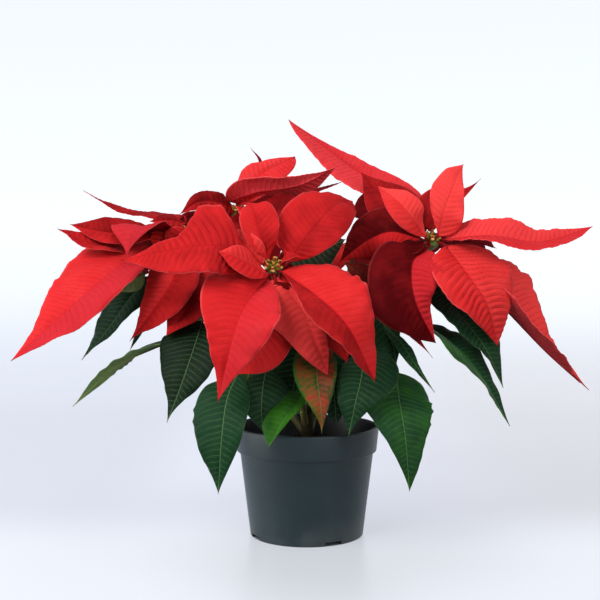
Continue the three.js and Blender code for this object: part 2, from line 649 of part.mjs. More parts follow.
// ---------- stems ----------
function stemPath(name) {
  const { height, path, hub } = STEMS[name];
  const first = vec(path[0]);
  const heading = new THREE.Vector3(first.x, first.y, 0).normalize();
  const start = heading.clone().multiplyScalar(BRANCH.socket).setZ(height);
  const [out, up] = BRANCH.collar;
  const collar = heading.clone().multiplyScalar(BRANCH.socket + out).setZ(height + up);
  const crown = vec(hub).addScaledVector(look(STEMS[name].axis), -HUB.depth * 0.6);
  return [start, collar, ...path.map(vec), crown];
}

function branch(name, extra = 0) {
  const points = stemPath(name);
  if (extra) {
    const last = points.length - 1;
    const onward = points[last].clone().sub(points[last - 1]).normalize();
    const back = points[0].clone().sub(points[1]).normalize();
    points[last].addScaledVector(onward, extra);
    points[0].addScaledVector(back, extra);
  }
  return rod(points, BRANCH.radius + extra, BRANCH.sides, BRANCH.steps);
}

function branchPoint(name, at) {
  return new THREE.CatmullRomCurve3(stemPath(name), false, 'catmullrom', 0.5).getPointAt(at);
}

function mainStem() {
  const body = solid(lathe([
    [0, STEM.foot],
    [STEM.radius, STEM.foot],
    [STEM.radius * STEM.waist, (STEM.foot + STEM.top) / 2],
    [STEM.radius, STEM.top - STEM.bevel],
    [STEM.radius - STEM.bevel, STEM.top],
    [0, STEM.top],
  ], STEM.sides));
  return Object.keys(STEMS).reduce((whole, name) => whole.subtract(branch(name, FIT)), body);
}

// ---------- blades placed by rule ----------
function arched(base, [plan, reach, rise, drop, width]) {
  const a = rad(plan);
  const sway = SWAY * reach * Math.sin(5 * a);
  const rib = [0, 1 / 3, 2 / 3, 1].map((u) => [
    base[0] + reach * u * Math.cos(a) - sway * u * u * Math.sin(a),
    base[1] + reach * u * Math.sin(a) + sway * u * u * Math.cos(a),
    base[2] + rise * u - drop * u * u,
  ]);
  const fullest = DEFAULTS.fullest + sway / 200;
  return { rib, width, face: [plan + 90, 75], tipFace: [plan + 90 + 2 * sway, 35], fullest };
}

function leafyStem(name) {
  const parts = [branch(name)];
  for (const leaf of Object.values(LEAVES[name])) {
    parts.push(bladeSolid(leaf, branchPoint(name, leaf.at)));
  }
  for (const [at, base, ...shape] of ARCHED_LEAVES[name]) {
    parts.push(bladeSolid(arched(base, shape), branchPoint(name, at)));
  }
  return join(parts);
}

// ---------- bloom: bracts round a hub, with the small cups that are the true flowers ----------
// Turns a solid drawn round +Z onto the axis of a bloom and sets it at the bloom's hub.
function place(geometry, name) {
  const { hub, axis } = STEMS[name];
  const turn = new THREE.Quaternion().setFromUnitVectors(new THREE.Vector3(0, 0, 1), look(axis));
  return solid(geometry.applyQuaternion(turn).translate(...hub));
}

function cups(name, extra = 0) {
  const r = CUP.radius + extra;
  const low = HUB.top + FIT - extra;
  const high = HUB.top + FIT + CUP.height + extra;
  const places = [[0, 0]];
  for (let i = 0; i < CUP.around; i += 1) {
    const a = (2 * Math.PI * i) / CUP.around + CUP.turn;
    places.push([CUP.ring * Math.cos(a), CUP.ring * Math.sin(a)]);
  }
  return join(places.map(([x, y]) => {
    const profile = [[0, low], [r * 0.75, low], [r, (low + high) / 2], [r * 0.6, high], [0, high]];
    return place(lathe(profile, CUP.sides).translate(x, y, 0), name);
  }));
}

function hub(name) {
  const { radius, depth, top, sides } = HUB;
  return place(lathe([
    [0, -depth],
    [radius * 0.6, -depth],
    [radius, -depth * 0.3],
    [radius, top * 0.5],
    [radius * 0.8, top],
    [0, top],
  ], sides), name);
}

function bloom(name) {
  const root = vec(STEMS[name].hub);
  const parts = [hub(name)];
  for (const bract of Object.values(BRACTS[name])) parts.push(bladeSolid(bract, root));
  for (const [order, [plan, ...shape]] of ARCHED_BRACTS[name].entries()) {
    const x = root.x + LAYER.start * Math.cos(rad(plan));
    const y = root.y + LAYER.start * Math.sin(rad(plan));
    const z = root.z + LAYER.lift + LAYER.step * (order % 2);
    parts.push(bladeSolid(arched([x, y, z], [plan, ...shape]), root));
  }
  return join(parts).subtract(branch(name, FIT)).subtract(cups(name, FIT));
}

// ---------- the whole plant ----------
const group = new THREE.Group();
group.add(mesh('pot', pot(), PAINT.pot));
group.add(mesh('soil', soil(), PAINT.soil));
group.add(mesh('main_stem', mainStem(), PAINT.wood));
for (const name of Object.keys(STEMS)) {
  group.add(mesh(`leafy_stem_${name}`, leafyStem(name), PAINT.leaf));
  group.add(mesh(`bracts_${name}`, bloom(name), PAINT.bract));
  group.add(mesh(`cyathia_${name}`, cups(name), PAINT.cyathia));
}

export default group;
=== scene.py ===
# A potted poinsettia: red blooms on leafy stems in a plastic nursery pot. Each piece stands for one node
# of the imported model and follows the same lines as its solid, with the fine form and finish added.
import math

import bpy
import numpy as np
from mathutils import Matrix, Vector


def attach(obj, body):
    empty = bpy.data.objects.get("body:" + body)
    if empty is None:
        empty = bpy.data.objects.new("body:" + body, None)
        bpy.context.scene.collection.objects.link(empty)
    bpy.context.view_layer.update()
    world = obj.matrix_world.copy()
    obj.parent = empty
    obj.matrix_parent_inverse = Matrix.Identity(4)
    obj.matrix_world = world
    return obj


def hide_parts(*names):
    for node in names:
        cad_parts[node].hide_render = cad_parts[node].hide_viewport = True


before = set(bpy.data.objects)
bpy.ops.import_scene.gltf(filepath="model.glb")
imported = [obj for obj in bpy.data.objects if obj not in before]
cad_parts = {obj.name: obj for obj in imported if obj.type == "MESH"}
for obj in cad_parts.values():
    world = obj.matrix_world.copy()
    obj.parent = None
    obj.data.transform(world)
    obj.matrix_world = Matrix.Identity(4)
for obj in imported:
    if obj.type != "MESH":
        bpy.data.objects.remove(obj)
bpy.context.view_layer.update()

MM = 0.001  # sizes below are in millimetres unless they say otherwise
SEED = 11

# ---------- pot, soil and stems ----------
POT = dict(height=99, rim_radius=65.5, collar_foot_radius=63.2, collar_height=22.5, body_top_radius=60.5,
    foot_radius=51.2, wall=2.2, foot_recess=3, foot_ring=4.5, foot_pad=18, floor=3, slots=4, slot_width=16,
    slot_height=3.6, slot_turn=27, holes=4, hole_radius=4, hole_circle=27, lip=0.6, floor_flare=0.6,
    ease=0.9, sharp=38, segments=160)
SOIL = dict(top=80, wave=1.6, gap=0.3, crumbs=520, slope=2.5,
    lumps=((1.2, 6, 7), (0.8, 2.6, 14), (0.5, 1.3, 18)))  # height, distance apart and number of waves
MAIN_STEM = dict(radius=5.4, foot=48, top=118, waist=0.06, ridge=0.35, ridge_size=7, ridge_stretch=0.3,
    grain=0.18, grain_size=2.2)
BRANCH = dict(radius=3.1, tip_radius=2.5, socket=3.2, collar=7, collar_rise=9)
HUB = dict(radius=6.4, depth=5, top=4.4)
NODE = dict(swell=0.55, reach=2.2, scars=3)  # where a leaf's stalk leaves a stem, or left it
CUP = dict(radius=2.5, low=3, height=5.2, ring=5.2, around=6, turn=0.4, lobes=5, stamens=6, buds=4,
    bud_ring=2.9)
LAYER = dict(start=10, step=5)  # far bracts start this far from the hub, every second one higher
SWAY = 0.14  # how far an arched blade bends to one side, as a share of its reach

# ---------- blades ----------
# One value, or a pair for the left and the right half: fold and curl are a half's angle at the rib and how
# far it bends by its edge, fullest is where along the blade it is widest, taper and neck draw it in at the
# tip and the base, halves scales its width, tone runs from -1, deep, to 1, light, and paints light and shade
# as well as the blade's own tone, and blush is the share of the second colour. Each corner and tooth is a
# bulge of an edge: half, place, height and reach.
DEFAULTS = dict(fold=15, curl=-20, fullest=0.42, taper=1.35, neck=1, halves=1, waves=2.5, corners=(),
    teeth=(), tone=0, blush=0, quilt=1)
BLADE = dict(thick=0.5, tip=0.15, stalk=1.35, rib=1.05, rib_end=0.28, rib_reach=0.94, rib_sunk=0.25,
    crowd=1.2, wave=0.025)
VEINS = dict(bract=5.2, leaf=4.7)  # distance from one side vein to the next
VEIN_LINE = dict(slant=0.26, bend=0.2, wander=0.18, wander_size=30)
QUILT = dict(bract=0.27, leaf=0.14)  # how far the blade puffs up between its side veins
RELIEF = dict(swell=0.9, swell_size=48, flutter=0.8, flutter_size=15, groove=0.35, groove_width=1.5)
MAP = dict(unit=200, rib=0.5, start=0.05)  # a blade's own map: mm in a unit, and where its rib and base lie
FINE = (88, 11)  # rows along a blade and columns on each half, for blades that face the front
COARSE = (54, 8)  # the same for blades on the far side

# Each stem: how high it leaves the main stem, the points it passes, and the middle of its bloom with the
# way that the bloom faces, as a turn and a lift.
STEMS = {
    "front": dict(height=100, path=((-6, -22, 134), (-18, -52, 188)), hub=(-28, -76, 241), axis=(0, 45)),
    "right": dict(height=106, path=((24, -3, 133), (74, -14, 201)), hub=(110, -22, 264), axis=(5, 65)),
    "left": dict(height=94, path=((-28, 2, 133), (-84, 8, 211)), hub=(-113, 12, 269), axis=(-10, 62)),
    "back_left": dict(height=112, path=((-12, 20, 142), (-42, 54, 216)), hub=(-66, 74, 291), axis=(0, 72)),
    "back_right": dict(height=88, path=((12, 24, 124), (34, 68, 189)), hub=(45, 90, 255), axis=(180, 70)),
}

# Each blade that the front shows: rib is the line of its midrib from base to tip, width is at its fullest,
# face is the way its upper side faces at the base and tip_face at the tip, as a turn and a lift, and at is
# where a leaf's stalk leaves the stem, as a share of the stem's length. DEFAULTS names the rest.
BRACTS = {
    "front": {
        "lower_left": dict(rib=((-32, -84, 235), (-50, -115, 214), (-60, -128, 187), (-72, -118, 136)),
            width=70, face=(-8, 35), fold=20, fullest=(0.45, 0.3), halves=(1, 1.12), taper=(1.5, 1.35),
            neck=(1, 0.8), tone=(0.1, -0.05), blush=(0.35, 0.12)),
        "lower_right": dict(rib=((-22, -86, 240), (6, -122, 222), (31, -138, 198), (53, -126, 154)),
            width=68, face=(22, 45), fold=20, fullest=(0.38, 0.45), halves=(1.22, 0.75), taper=(0.9, 1.35),
            neck=(0.8, 1.5), tone=(0.15, -0.5)),
        "long_left": dict(rib=((-38, -84, 241), (-69, -100, 261), (-111, -104, 258), (-153, -90, 249)),
            width=74, face=(-15, 30), fold=18, fullest=(0.48, 0.42), halves=(0.8, 0.29), taper=(1.35, 1.3),
            neck=(0.9, 1.4), corners=((1, 0.47, 2, 0.14), (1, 0.36, 2, 0.14)), tone=(-0.3, -0.25), quilt=3),
        "folded_up": dict(rib=((-32, -78, 249), (-39, -82, 268), (-44, -70, 287), (-50, -50, 298)),
            width=40, face=(0, 35), fold=35, fullest=0.5, halves=(0.8, 1), tone=(0.2, -0.25)),
        "upper_right": dict(rib=((-16, -76, 247), (-1, -76, 269), (22, -52, 295), (41, -8, 301)), width=56,
            face=(5, 35), fold=12, fullest=(0.5, 0.55), halves=(1.1, 0.9), taper=(1.1, 1.2), neck=0.8,
            tone=(-0.2, -0.35), quilt=1.6),
        "hanging": dict(rib=((-24, -82, 236), (-5, -104, 210), (7, -110, 182), (17, -102, 156)), width=46,
            face=(5, 30), fullest=(0.5, 0.42), halves=(0.5, 1.17), taper=(1.35, 1), neck=(1.2, 0.5),
            corners=((1, 0.4, 0.15, 0.1),), tone=(0.7, 0.95)),
        "hanging_right": dict(rib=((-21, -78, 237), (7, -90, 208), (24, -94, 189), (33, -86, 164)),
            width=44, face=(10, 30), fold=20, tone=-0.1),
        "behind_lower_left": dict(rib=((-28, -86, 230), (-29, -97, 205), (-39, -98, 177), (-58, -90, 155)),
            width=58, face=(0, 25), fullest=0.55, halves=(0.8, 1), tone=0.2, quilt=2),
        "tiny_right": dict(rib=((-22, -84, 246), (-15, -88, 251), (-6, -88, 253)), width=13, face=(0, 60),
            fold=30, tone=-0.3),
        "small_left": dict(rib=((-37, -80, 246), (-47, -86, 258), (-57, -82, 268), (-68, -72, 273)),
            width=24, face=(-10, 30), fold=30, neck=0.7, tone=(0.1, 0.7)),
        "base_lobe": dict(rib=((-32, -86, 237), (-46, -100, 246), (-59, -108, 253), (-72, -110, 257)),
            width=30, face=(-15, 40), fold=10, tone=(0, 0.5)),
        "dark_under": dict(rib=((-26, -88, 232), (-19, -96, 217), (-13, -100, 200), (-9, -98, 181)),
            width=40, face=(5, 30), fold=10, tone=-0.8),
    },
    "right": {
        "upright": dict(rib=((114, -30, 270), (118, -38, 291), (127, -30, 313), (140, -4, 334)), width=40,
            face=(0, 25), fold=10, fullest=(0.6, 0.28), halves=(0.85, 0.92), taper=(1, 1.35),
            tone=(0.85, 0.7)),
        "upper_left": dict(rib=((104, -32, 268), (90, -45, 286), (77, -40, 301), (62, -20, 314)), width=38,
            face=(-5, 35), fold=12, fullest=0.45, halves=(0.8, 0.87), tone=(0.35, 0.7)),
        "behind_upright": dict(rib=((110, -15, 273), (122, 12, 296), (144, 30, 307), (163, 40, 324)),
            width=44, face=(0, 30), fold=20, fullest=(0.28, 0.3), halves=(1, 0.3), taper=(2.2, 2),
            tone=-0.4),
        "long_right": dict(rib=((120, -28, 267), (157, -50, 270), (200, -50, 265), (248, -35, 278)),
            width=50, face=(0, 75), fold=(55, 9), fullest=(0.3, 0.5), halves=(0.78, 0.9), taper=(1.5, 1),
            corners=((0, 0.7, 0.14, 0.3),), tone=(0.8, 0.3), blush=(0.3, 0.35), quilt=2.2),
        "lower_right": dict(rib=((121, -32, 261), (135, -58, 238), (151, -68, 212), (162, -58, 176)),
            width=62, face=(15, 40), fold=16, fullest=(0.36, 0.4), halves=(1.3, 1.12), taper=(1, 1.35),
            tone=(0.5, 0.25), quilt=4),
        "far_right": dict(rib=((123, -20, 256), (168, -35, 212), (210, -30, 169), (251, -20, 133)),
            width=58, face=(65, 35), fold=45, fullest=(0.35, 0.42), taper=(1.7, 1.35),
            corners=((0, 0.22, 0.6, 0.2), (0, 0.38, 0.5, 0.17)), tone=(1, 1.4), quilt=2.6),
        "dark_lower": dict(rib=((104, -34, 258), (89, -58, 246), (90, -74, 216), (109, -64, 179)), width=70,
            face=(0, 35), fold=20, fullest=(0.3, 0.52), halves=(0.8, 1.08), taper=(1.35, 1.05),
            corners=((1, 0.66, 0.22, 0.14),), tone=(-0.05, -0.8), blush=(0.35, 0.1), quilt=3.2),
        "tiny_left": dict(rib=((102, -34, 263), (91, -42, 261), (82, -44, 258), (77, -40, 252)), width=18,
            face=(-20, 40), fold=10, tone=-0.9),
        "rolled_left": dict(rib=((100, -25, 267), (75, -20, 274), (53, -14, 266), (29, -16, 247)), width=58,
            face=(-10, 35), fold=10, curl=(-95, -20), fullest=0.45, tone=(0, -0.8), quilt=1.6),
        "highest": dict(rib=((105, -5, 270), (86, 25, 302), (42, 55, 336), (-17, 70, 382)), width=50,
            face=(-10, 40), fold=25, fullest=(0.6, 0.33), halves=(0.95, 0.74), taper=(0.85, 1.6),
            tone=(0.8, 0.5), blush=(0.45, 0.4), quilt=1.8),
        "behind_upper_left": dict(rib=((100, -18, 268), (84, -2, 290), (67, 10, 307), (50, 25, 329)),
            width=46, face=(-10, 30), tone=-0.6),
        "narrow_lower": dict(rib=((98, -36, 257), (83, -55, 223), (86, -56, 194), (108, -50, 165)),
            width=26, face=(0, 20), fold=20, fullest=0.35, taper=2.1, tone=-0.2, blush=0.4),
        "dark_left": dict(rib=((101, -12, 268), (80, -2, 283), (59, 4, 291), (39, 6, 288)), width=36,
            face=(-5, 30), fold=5, fullest=(0.42, 0.65), halves=(1, 1.4), tone=-0.9),
    },
    "left": {
        "long_left": dict(rib=((-122, 2, 267), (-158, -45, 247), (-197, -85, 210), (-243, -95, 167)),
            width=75, face=(-25, 45), fold=12, fullest=(0.52, 0.35), halves=(0.86, 1.32), taper=(1.2, 1.35),
            tone=(-0.1, 0.25), blush=(0.45, 0.2), quilt=1.4),
        "outer": dict(rib=((-124, 5, 274), (-152, -15, 272), (-180, -25, 274), (-208, -25, 280)), width=36,
            face=(-10, 40), fold=25, fullest=0.5, halves=(1, 0.9), tone=(-0.35, -0.55)),
        "outer_low": dict(rib=((-128, 0, 267), (-162, -20, 259), (-190, -35, 264), (-216, -40, 276)),
            width=34, face=(-10, 60), fold=20, fullest=0.5, halves=(0.9, 1), tone=-0.35),
        "bent_forward": dict(rib=((-122, 0, 274), (-136, -28, 277), (-148, -48, 275), (-154, -57, 252)),
            width=50, face=(-42, 80), tip_face=(-32, 0), fullest=0.68, halves=(0.9, 1.3), taper=1.7,
            neck=0.4, tone=(-0.4, -0.25), blush=0.45),
        "high_edge_on": dict(rib=((-115, 25, 289), (-137, 15, 290), (-168, 10, 294), (-202, 5, 311)),
            width=24, face=(-10, 75), fold=(3, 8), fullest=0.3, halves=(1, 1.3), tone=-0.5),
        "inner_striped": dict(rib=((-113, 5, 272), (-120, -12, 270), (-128, -22, 263), (-133, -24, 254)),
            width=30, face=(-10, 20), fold=20, tone=-0.15, quilt=3),
        "inner_low": dict(rib=((-109, 0, 277), (-113, -15, 268), (-119, -24, 260), (-129, -28, 254)),
            width=26, face=(20, 20), fold=20, tone=-0.05, quilt=3),
        "hanging": dict(rib=((-113, 0, 262), (-117, -42, 232), (-132, -58, 206), (-151, -60, 180)),
            width=58, face=(-20, 30), fold=20, fullest=0.45, halves=(1.05, 0.8), taper=(1.8, 1.35),
            neck=(1, 0.4), tone=(-0.4, 0.3), quilt=2),
        "hanging_inner": dict(rib=((-93, -25, 248), (-98, -45, 225), (-104, -60, 206), (-119, -70, 185)),
            width=44, face=(-10, 20), fold=10, fullest=0.5, neck=(0.6, 1), tone=(-0.4, -0.1)),
        "dark_notch": dict(rib=((-110, 6, 281), (-120, -2, 284), (-130, -8, 284), (-140, -12, 283)),
            width=18, face=(-10, 40), fold=5, tone=(-0.45, -0.6)),
    },
    "back_left": {
        "bright_upper": dict(rib=((-67, 70, 301), (-55, 62, 319), (-38, 62, 333), (-11, 70, 347)), width=46,
            face=(0, 30), fullest=(0.45, 0.55), halves=(0.66, 0.92), taper=(1.2, 0.55), tone=(0.6, 0.3),
            blush=(0.3, 0.25), quilt=2),
        "turned_over": dict(rib=((-75, 66, 304), (-46, 50, 312), (-6, 38, 318), (27, 28, 334)), width=44,
            face=(180, 55), fullest=(0.52, 0.42), halves=(1.05, 0.95), taper=(1, 1.35), neck=0.6, tone=1,
            quilt=2),
        "dark_left": dict(rib=((-68, 72, 296), (-81, 58, 302), (-101, 50, 303), (-119, 42, 291)), width=34,
            face=(-10, 30), fold=10, halves=(1, 0.74), tone=(-0.5, -0.65), quilt=1.8),
        "wavy_front": dict(rib=((-64, 60, 293), (-59, 35, 284), (-52, 20, 275), (-41, 10, 271)), width=40,
            face=(0, 30), fold=10, tone=-0.6),
        "dark_right": dict(rib=((-60, 60, 293), (-36, 38, 294), (-11, 30, 296), (17, 22, 292)), width=34,
            face=(0, 30), fold=10, tone=-0.65),
        "small_spike": dict(rib=((-40, 66, 298), (-8, 60, 306), (14, 54, 315), (33, 45, 321)), width=12,
            face=(0, 60), tone=-0.8),
        "thin_spike": dict(rib=((-61, 85, 302), (-52, 95, 321), (-45, 100, 343), (-55, 102, 358)), width=5,
            face=(0, 30), fold=10, tone=-0.7),
    },
    "back_right": {},
}
# Bracts of the far side, each on an arch: compass direction, reach, rise, drop and width.
ARCHED_BRACTS = {
    "front": [(112, 44, -2, 24, 28)],
    "right": [(28, 66, 8, 14, 34), (62, 120, 10, 85, 58), (98, 95, 15, 70, 52)],
    "left": [(100, 105, 5, 75, 56), (140, 120, 0, 70, 58), (165, 85, -5, 40, 44), (0, 64, 0, 32, 40),
        (48, 62, 12, 34, 40)],
    "back_left": [(75, 120, 10, 75, 60), (110, 125, 15, 85, 62), (145, 130, 10, 85, 60),
        (178, 72, -2, 21, 42), (95, 60, 25, 30, 38), (-62, 66, 4, 42, 42)],
    "back_right": [(5, 95, 20, 60, 52), (38, 120, 30, 85, 60), (72, 135, 35, 110, 64),
        (105, 125, 30, 95, 60), (140, 115, 30, 90, 58), (60, 60, 45, 40, 40), (175, 70, 25, 45, 40),
        (-60, 50, 20, 25, 34), (215, 72, 22, 32, 42), (-95, 80, 10, 35, 50)],
}
LEAVES = {
    "front": {
        "low_left": dict(rib=((-58, -78, 155), (-66, -102, 135), (-70, -113, 98), (-73, -101, 58)),
            width=54, face=(-5, 25), fold=8, fullest=(0.38, 0.4), halves=(0.72, 0.93), neck=(1, 1.15),
            teeth=((1, 0.42, 0.06, 0.03), (1, 0.5, 0.05, 0.03)), at=0.35, tone=-0.15),
        "short_left": dict(rib=((-34, -68, 160), (-37, -82, 144), (-38, -88, 126), (-37, -84, 107)),
            width=38, face=(0, 25), fold=8, fullest=(0.35, 0.45), halves=(1.15, 0.9), taper=(3, 1.2),
            at=0.45, tone=-0.45),
        "bright_low": dict(rib=((-1, -56, 147), (-6, -76, 133), (-20, -88, 117), (-32, -84, 94)), width=44,
            face=(-10, 30), fold=8, fullest=(0.4, 0.55), halves=(0.25, 1.1), taper=(1.2, 0.8), at=0.25,
            tone=(1.4, 0.6)),
        "low_middle": dict(rib=((49, -55, 176), (45, -85, 154), (39, -98, 132), (34, -92, 104)), width=62,
            face=(0, 25), fullest=(0.3, 0.42), halves=(1, 0.62), taper=(1.9, 1.35), at=0.6, tone=-0.35),
        "turning_red": dict(rib=((8, -75, 179), (8, -95, 154), (11, -100, 130), (12, -92, 106)), width=40,
            face=(0, 20), fold=20, fullest=0.25, halves=(0.85, 1), taper=1.8, at=0.65, tone=(0.4, 0.6),
            blush=(0.5, 0.38)),
        "upper_dark": dict(rib=((-15, -12, 247), (0, -17, 252), (16, -22, 259), (34, -25, 267)), width=54,
            face=(0, 40), fold=10, at=0.85, tone=-1.3, blush=0.08),
        "dark_inner": dict(rib=((-6, -50, 181), (-8, -60, 160), (-12, -68, 140), (-17, -68, 115)), width=44,
            face=(0, 25), fold=8, at=0.55, tone=-0.5),
        "dark_right": dict(rib=((18, -40, 184), (22, -50, 162), (23, -56, 139), (25, -56, 109)), width=42,
            face=(5, 25), fold=8, taper=0.9, at=0.5, tone=-0.8),
    },
    "right": {
        "big_low": dict(rib=((77, -45, 152), (77, -80, 132), (81, -93, 102), (85, -85, 57)), width=60,
            face=(10, 30), fold=8, fullest=(0.44, 0.37), halves=(0.92, 0.93), taper=(0.95, 1.5),
            neck=(0.6, 0.8), corners=((1, 0.36, 0.15, 0.12),),
            teeth=((0, 0.34, 0.05, 0.03), (0, 0.45, 0.08, 0.04), (0, 0.58, 0.06, 0.03)), at=0.3, tone=0.3),
        "small_inner": dict(rib=((64, -30, 195), (81, -45, 178), (93, -55, 159), (110, -50, 135)), width=26,
            face=(10, 40), fold=10, halves=(0.42, 0.6), taper=1.9, at=0.5, tone=0.1),
        "far_low": dict(rib=((102, -15, 193), (125, -40, 178), (149, -50, 151), (176, -45, 105)), width=50,
            face=(45, 45), fold=25, halves=(0.75, 1), at=0.6, tone=(0, 0.4)),
        "far_dark": dict(rib=((114, -20, 227), (134, -45, 200), (154, -55, 171), (169, -50, 139)), width=52,
            face=(25, 40), fold=10, fullest=(0.42, 0.25), halves=(1, 0.75), taper=(1.35, 1.9),
            neck=(1, 0.7), at=0.8, tone=(-0.2, -0.5)),
        "inner_dark": dict(rib=((56, -15, 213), (65, -30, 197), (74, -38, 177), (78, -38, 157)), width=44,
            face=(10, 30), fold=10, halves=(0.5, 1), at=0.7),
        "dark_top": dict(rib=((70, 0, 216), (58, -4, 227), (47, -6, 237), (33, -6, 247)), width=30,
            face=(-5, 35), fold=8, at=0.75, tone=0.9, blush=1),
    },
    "left": {
        "outer": dict(rib=((-140, -10, 235), (-155, -30, 216), (-174, -40, 188), (-196, -40, 162)),
            width=48, face=(-30, 50), fold=10, fullest=(0.28, 0.42), halves=(0.8, 1), taper=(1.8, 1.35),
            at=0.85, tone=-0.45),
        "outer_fold": dict(rib=((-142, -26, 237), (-151, -30, 233), (-160, -34, 228), (-171, -38, 221)),
            width=24, face=(180, -20), fold=5, at=0.85, tone=1.1),
        "turned_over": dict(rib=((-115, -15, 179), (-136, -42, 172), (-164, -60, 158), (-199, -65, 125)),
            width=54, face=(160, 60), fold=10, fullest=0.3, halves=(1.05, 1.08), taper=(1.35, 1.6),
            neck=0.6, at=0.6, tone=0.6),
        "broad_low": dict(rib=((-90, -46, 197), (-95, -70, 177), (-104, -84, 148), (-117, -82, 114)),
            width=56, face=(-10, 30), fold=10, fullest=(0.42, 0.34), halves=(0.85, 1.06), taper=(2.1, 1.35),
            at=0.7, tone=(-0.9, -1.6)),
        "thin_tip": dict(rib=((-133, -30, 210), (-143, -34, 192), (-149, -34, 181), (-155, -34, 170)),
            width=6, face=(-10, 30), at=0.75),
    },
    "back_left": {},
    "back_right": {},
}
# Leaves of the far side: share of the stem's length, base, compass direction, reach, rise, drop and width.
ARCHED_LEAVES = {
    "front": [(0.62, (-32, -16, 197), 104, 46, 0, 30, 36)],
    "right": [(0.55, (56, 25, 189), 78, 60, -5, 35, 42)],
    "left": [(0.55, (-70, 35, 184), 170, 62, -10, 45, 50)],
    "back_left": [(0.7, (-25, 85, 193), 105, 100, -5, 95, 64), (0.8, (-70, 60, 208), 150, 78, -5, 62, 58),
        (0.45, (-50, 60, 153), 100, 75, -10, 70, 52)],
    "back_right": [(0.7, (50, 60, 200), 45, 58, 0, 36, 46), (0.8, (25, 85, 183), 75, 100, -5, 95, 66),
        (0.5, (10, 60, 153), 90, 85, -5, 85, 56), (0.5, (50, 50, 154), 55, 70, -10, 70, 50),
        (0.6, (12, 42, 208), -100, 72, 0, 40, 54)],
}


# ---------- shapes ----------
def look(turn, lift):
    """A direction: turn 0 is -Y and positive toward +X, lift 90 is straight up, in degrees."""
    a, e = math.radians(turn), math.radians(lift)
    return np.array([math.sin(a) * math.cos(e), -math.cos(a) * math.cos(e), math.sin(e)])


def unit(vectors):
    """The vectors at length 1."""
    return vectors / np.maximum(np.linalg.norm(vectors, axis=-1, keepdims=True), 1e-9)


def pair(value):
    """The values for the left and the right half."""
    return value if isinstance(value, tuple) else (value, value)


def smooth(low, high, value):
    """0 below low, 1 above high and a soft step between."""
    share = np.clip((value - low) / (high - low), 0, 1)
    return share * share * (3 - 2 * share)


def spline(points, t):
    """Places and directions on a smooth curve through the points, at each t from 0 to 1."""
    p = np.asarray(points, float)
    p = np.vstack([2 * p[0] - p[1], p, 2 * p[-1] - p[-2]])
    at = np.clip(t, 0, 1) * (len(points) - 1)
    k = np.minimum(at.astype(int), len(points) - 2)
    w = (at - k)[:, None]
    before, start, end, after = p[k], p[k + 1], p[k + 2], p[k + 3]
    leave, arrive = (end - before) / 2, (after - start) / 2
    square = 3 * (end - start) - 2 * leave - arrive
    cube = 2 * (start - end) + leave + arrive
    place = start + w * (leave + w * (square + w * cube))
    return place, unit(leave + w * (2 * square + 3 * w * cube))


def run_along(points):
    """How far along a line of points each of them lies."""
    return np.concatenate([[0], np.cumsum(np.linalg.norm(np.diff(points, axis=0), axis=1))])


def even_point(points, share):
    """The place at a share of the curve's own length."""
    t = np.linspace(0, 1, 201)
    run = run_along(spline(points, t)[0])
    return spline(points, np.array([np.interp(share * run[-1], run, t)]))[0][0]


def spoke(angle):
    """The directions outward and sideways at an angle round +Z, in radians."""
    c, s = math.cos(angle), math.sin(angle)
    return np.array([c, s, 0]), np.array([-s, c, 0])


def frames(points, up):
    """Side and up directions along a line of points, carried on without a twist."""
    heading = unit(np.gradient(points, axis=0))
    sides, ups = np.empty_like(points), np.empty_like(points)
    for i, along in enumerate(heading):
        side = np.cross(along, up)
        if np.linalg.norm(side) < 1e-3:
            side = np.cross(along, [0.3, 1, 0.1])
        sides[i] = unit(side)
        up = ups[i] = np.cross(sides[i], along)
    return sides, ups


class Field:
    """A smooth random field made of waves about `size` apart, from -1 to 1."""

    def __init__(self, rng, size, axes=2, waves=7):
        turns = unit(rng.normal(size=(waves, axes)))
        self.steps = turns * (2 * math.pi / size) * rng.uniform(0.6, 1.5, (waves, 1))
        self.starts = rng.uniform(0, 2 * math.pi, waves)

    def __call__(self, places):
        return np.sin(np.tensordot(places, self.steps.T, 1) + self.starts).mean(-1) * 1.8


# ---------- gathering one piece's mesh ----------
def place_object(name, data):
    made = bpy.data.objects.new(name, data)
    bpy.context.scene.collection.objects.link(made)
    return made


def piece(mesh, name, slot, *nodes):
    """The object that stands for the CAD node, whose solid it hides; the slot is not used."""
    made = place_object(name, mesh)
    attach(made, "root")
    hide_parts(*nodes)


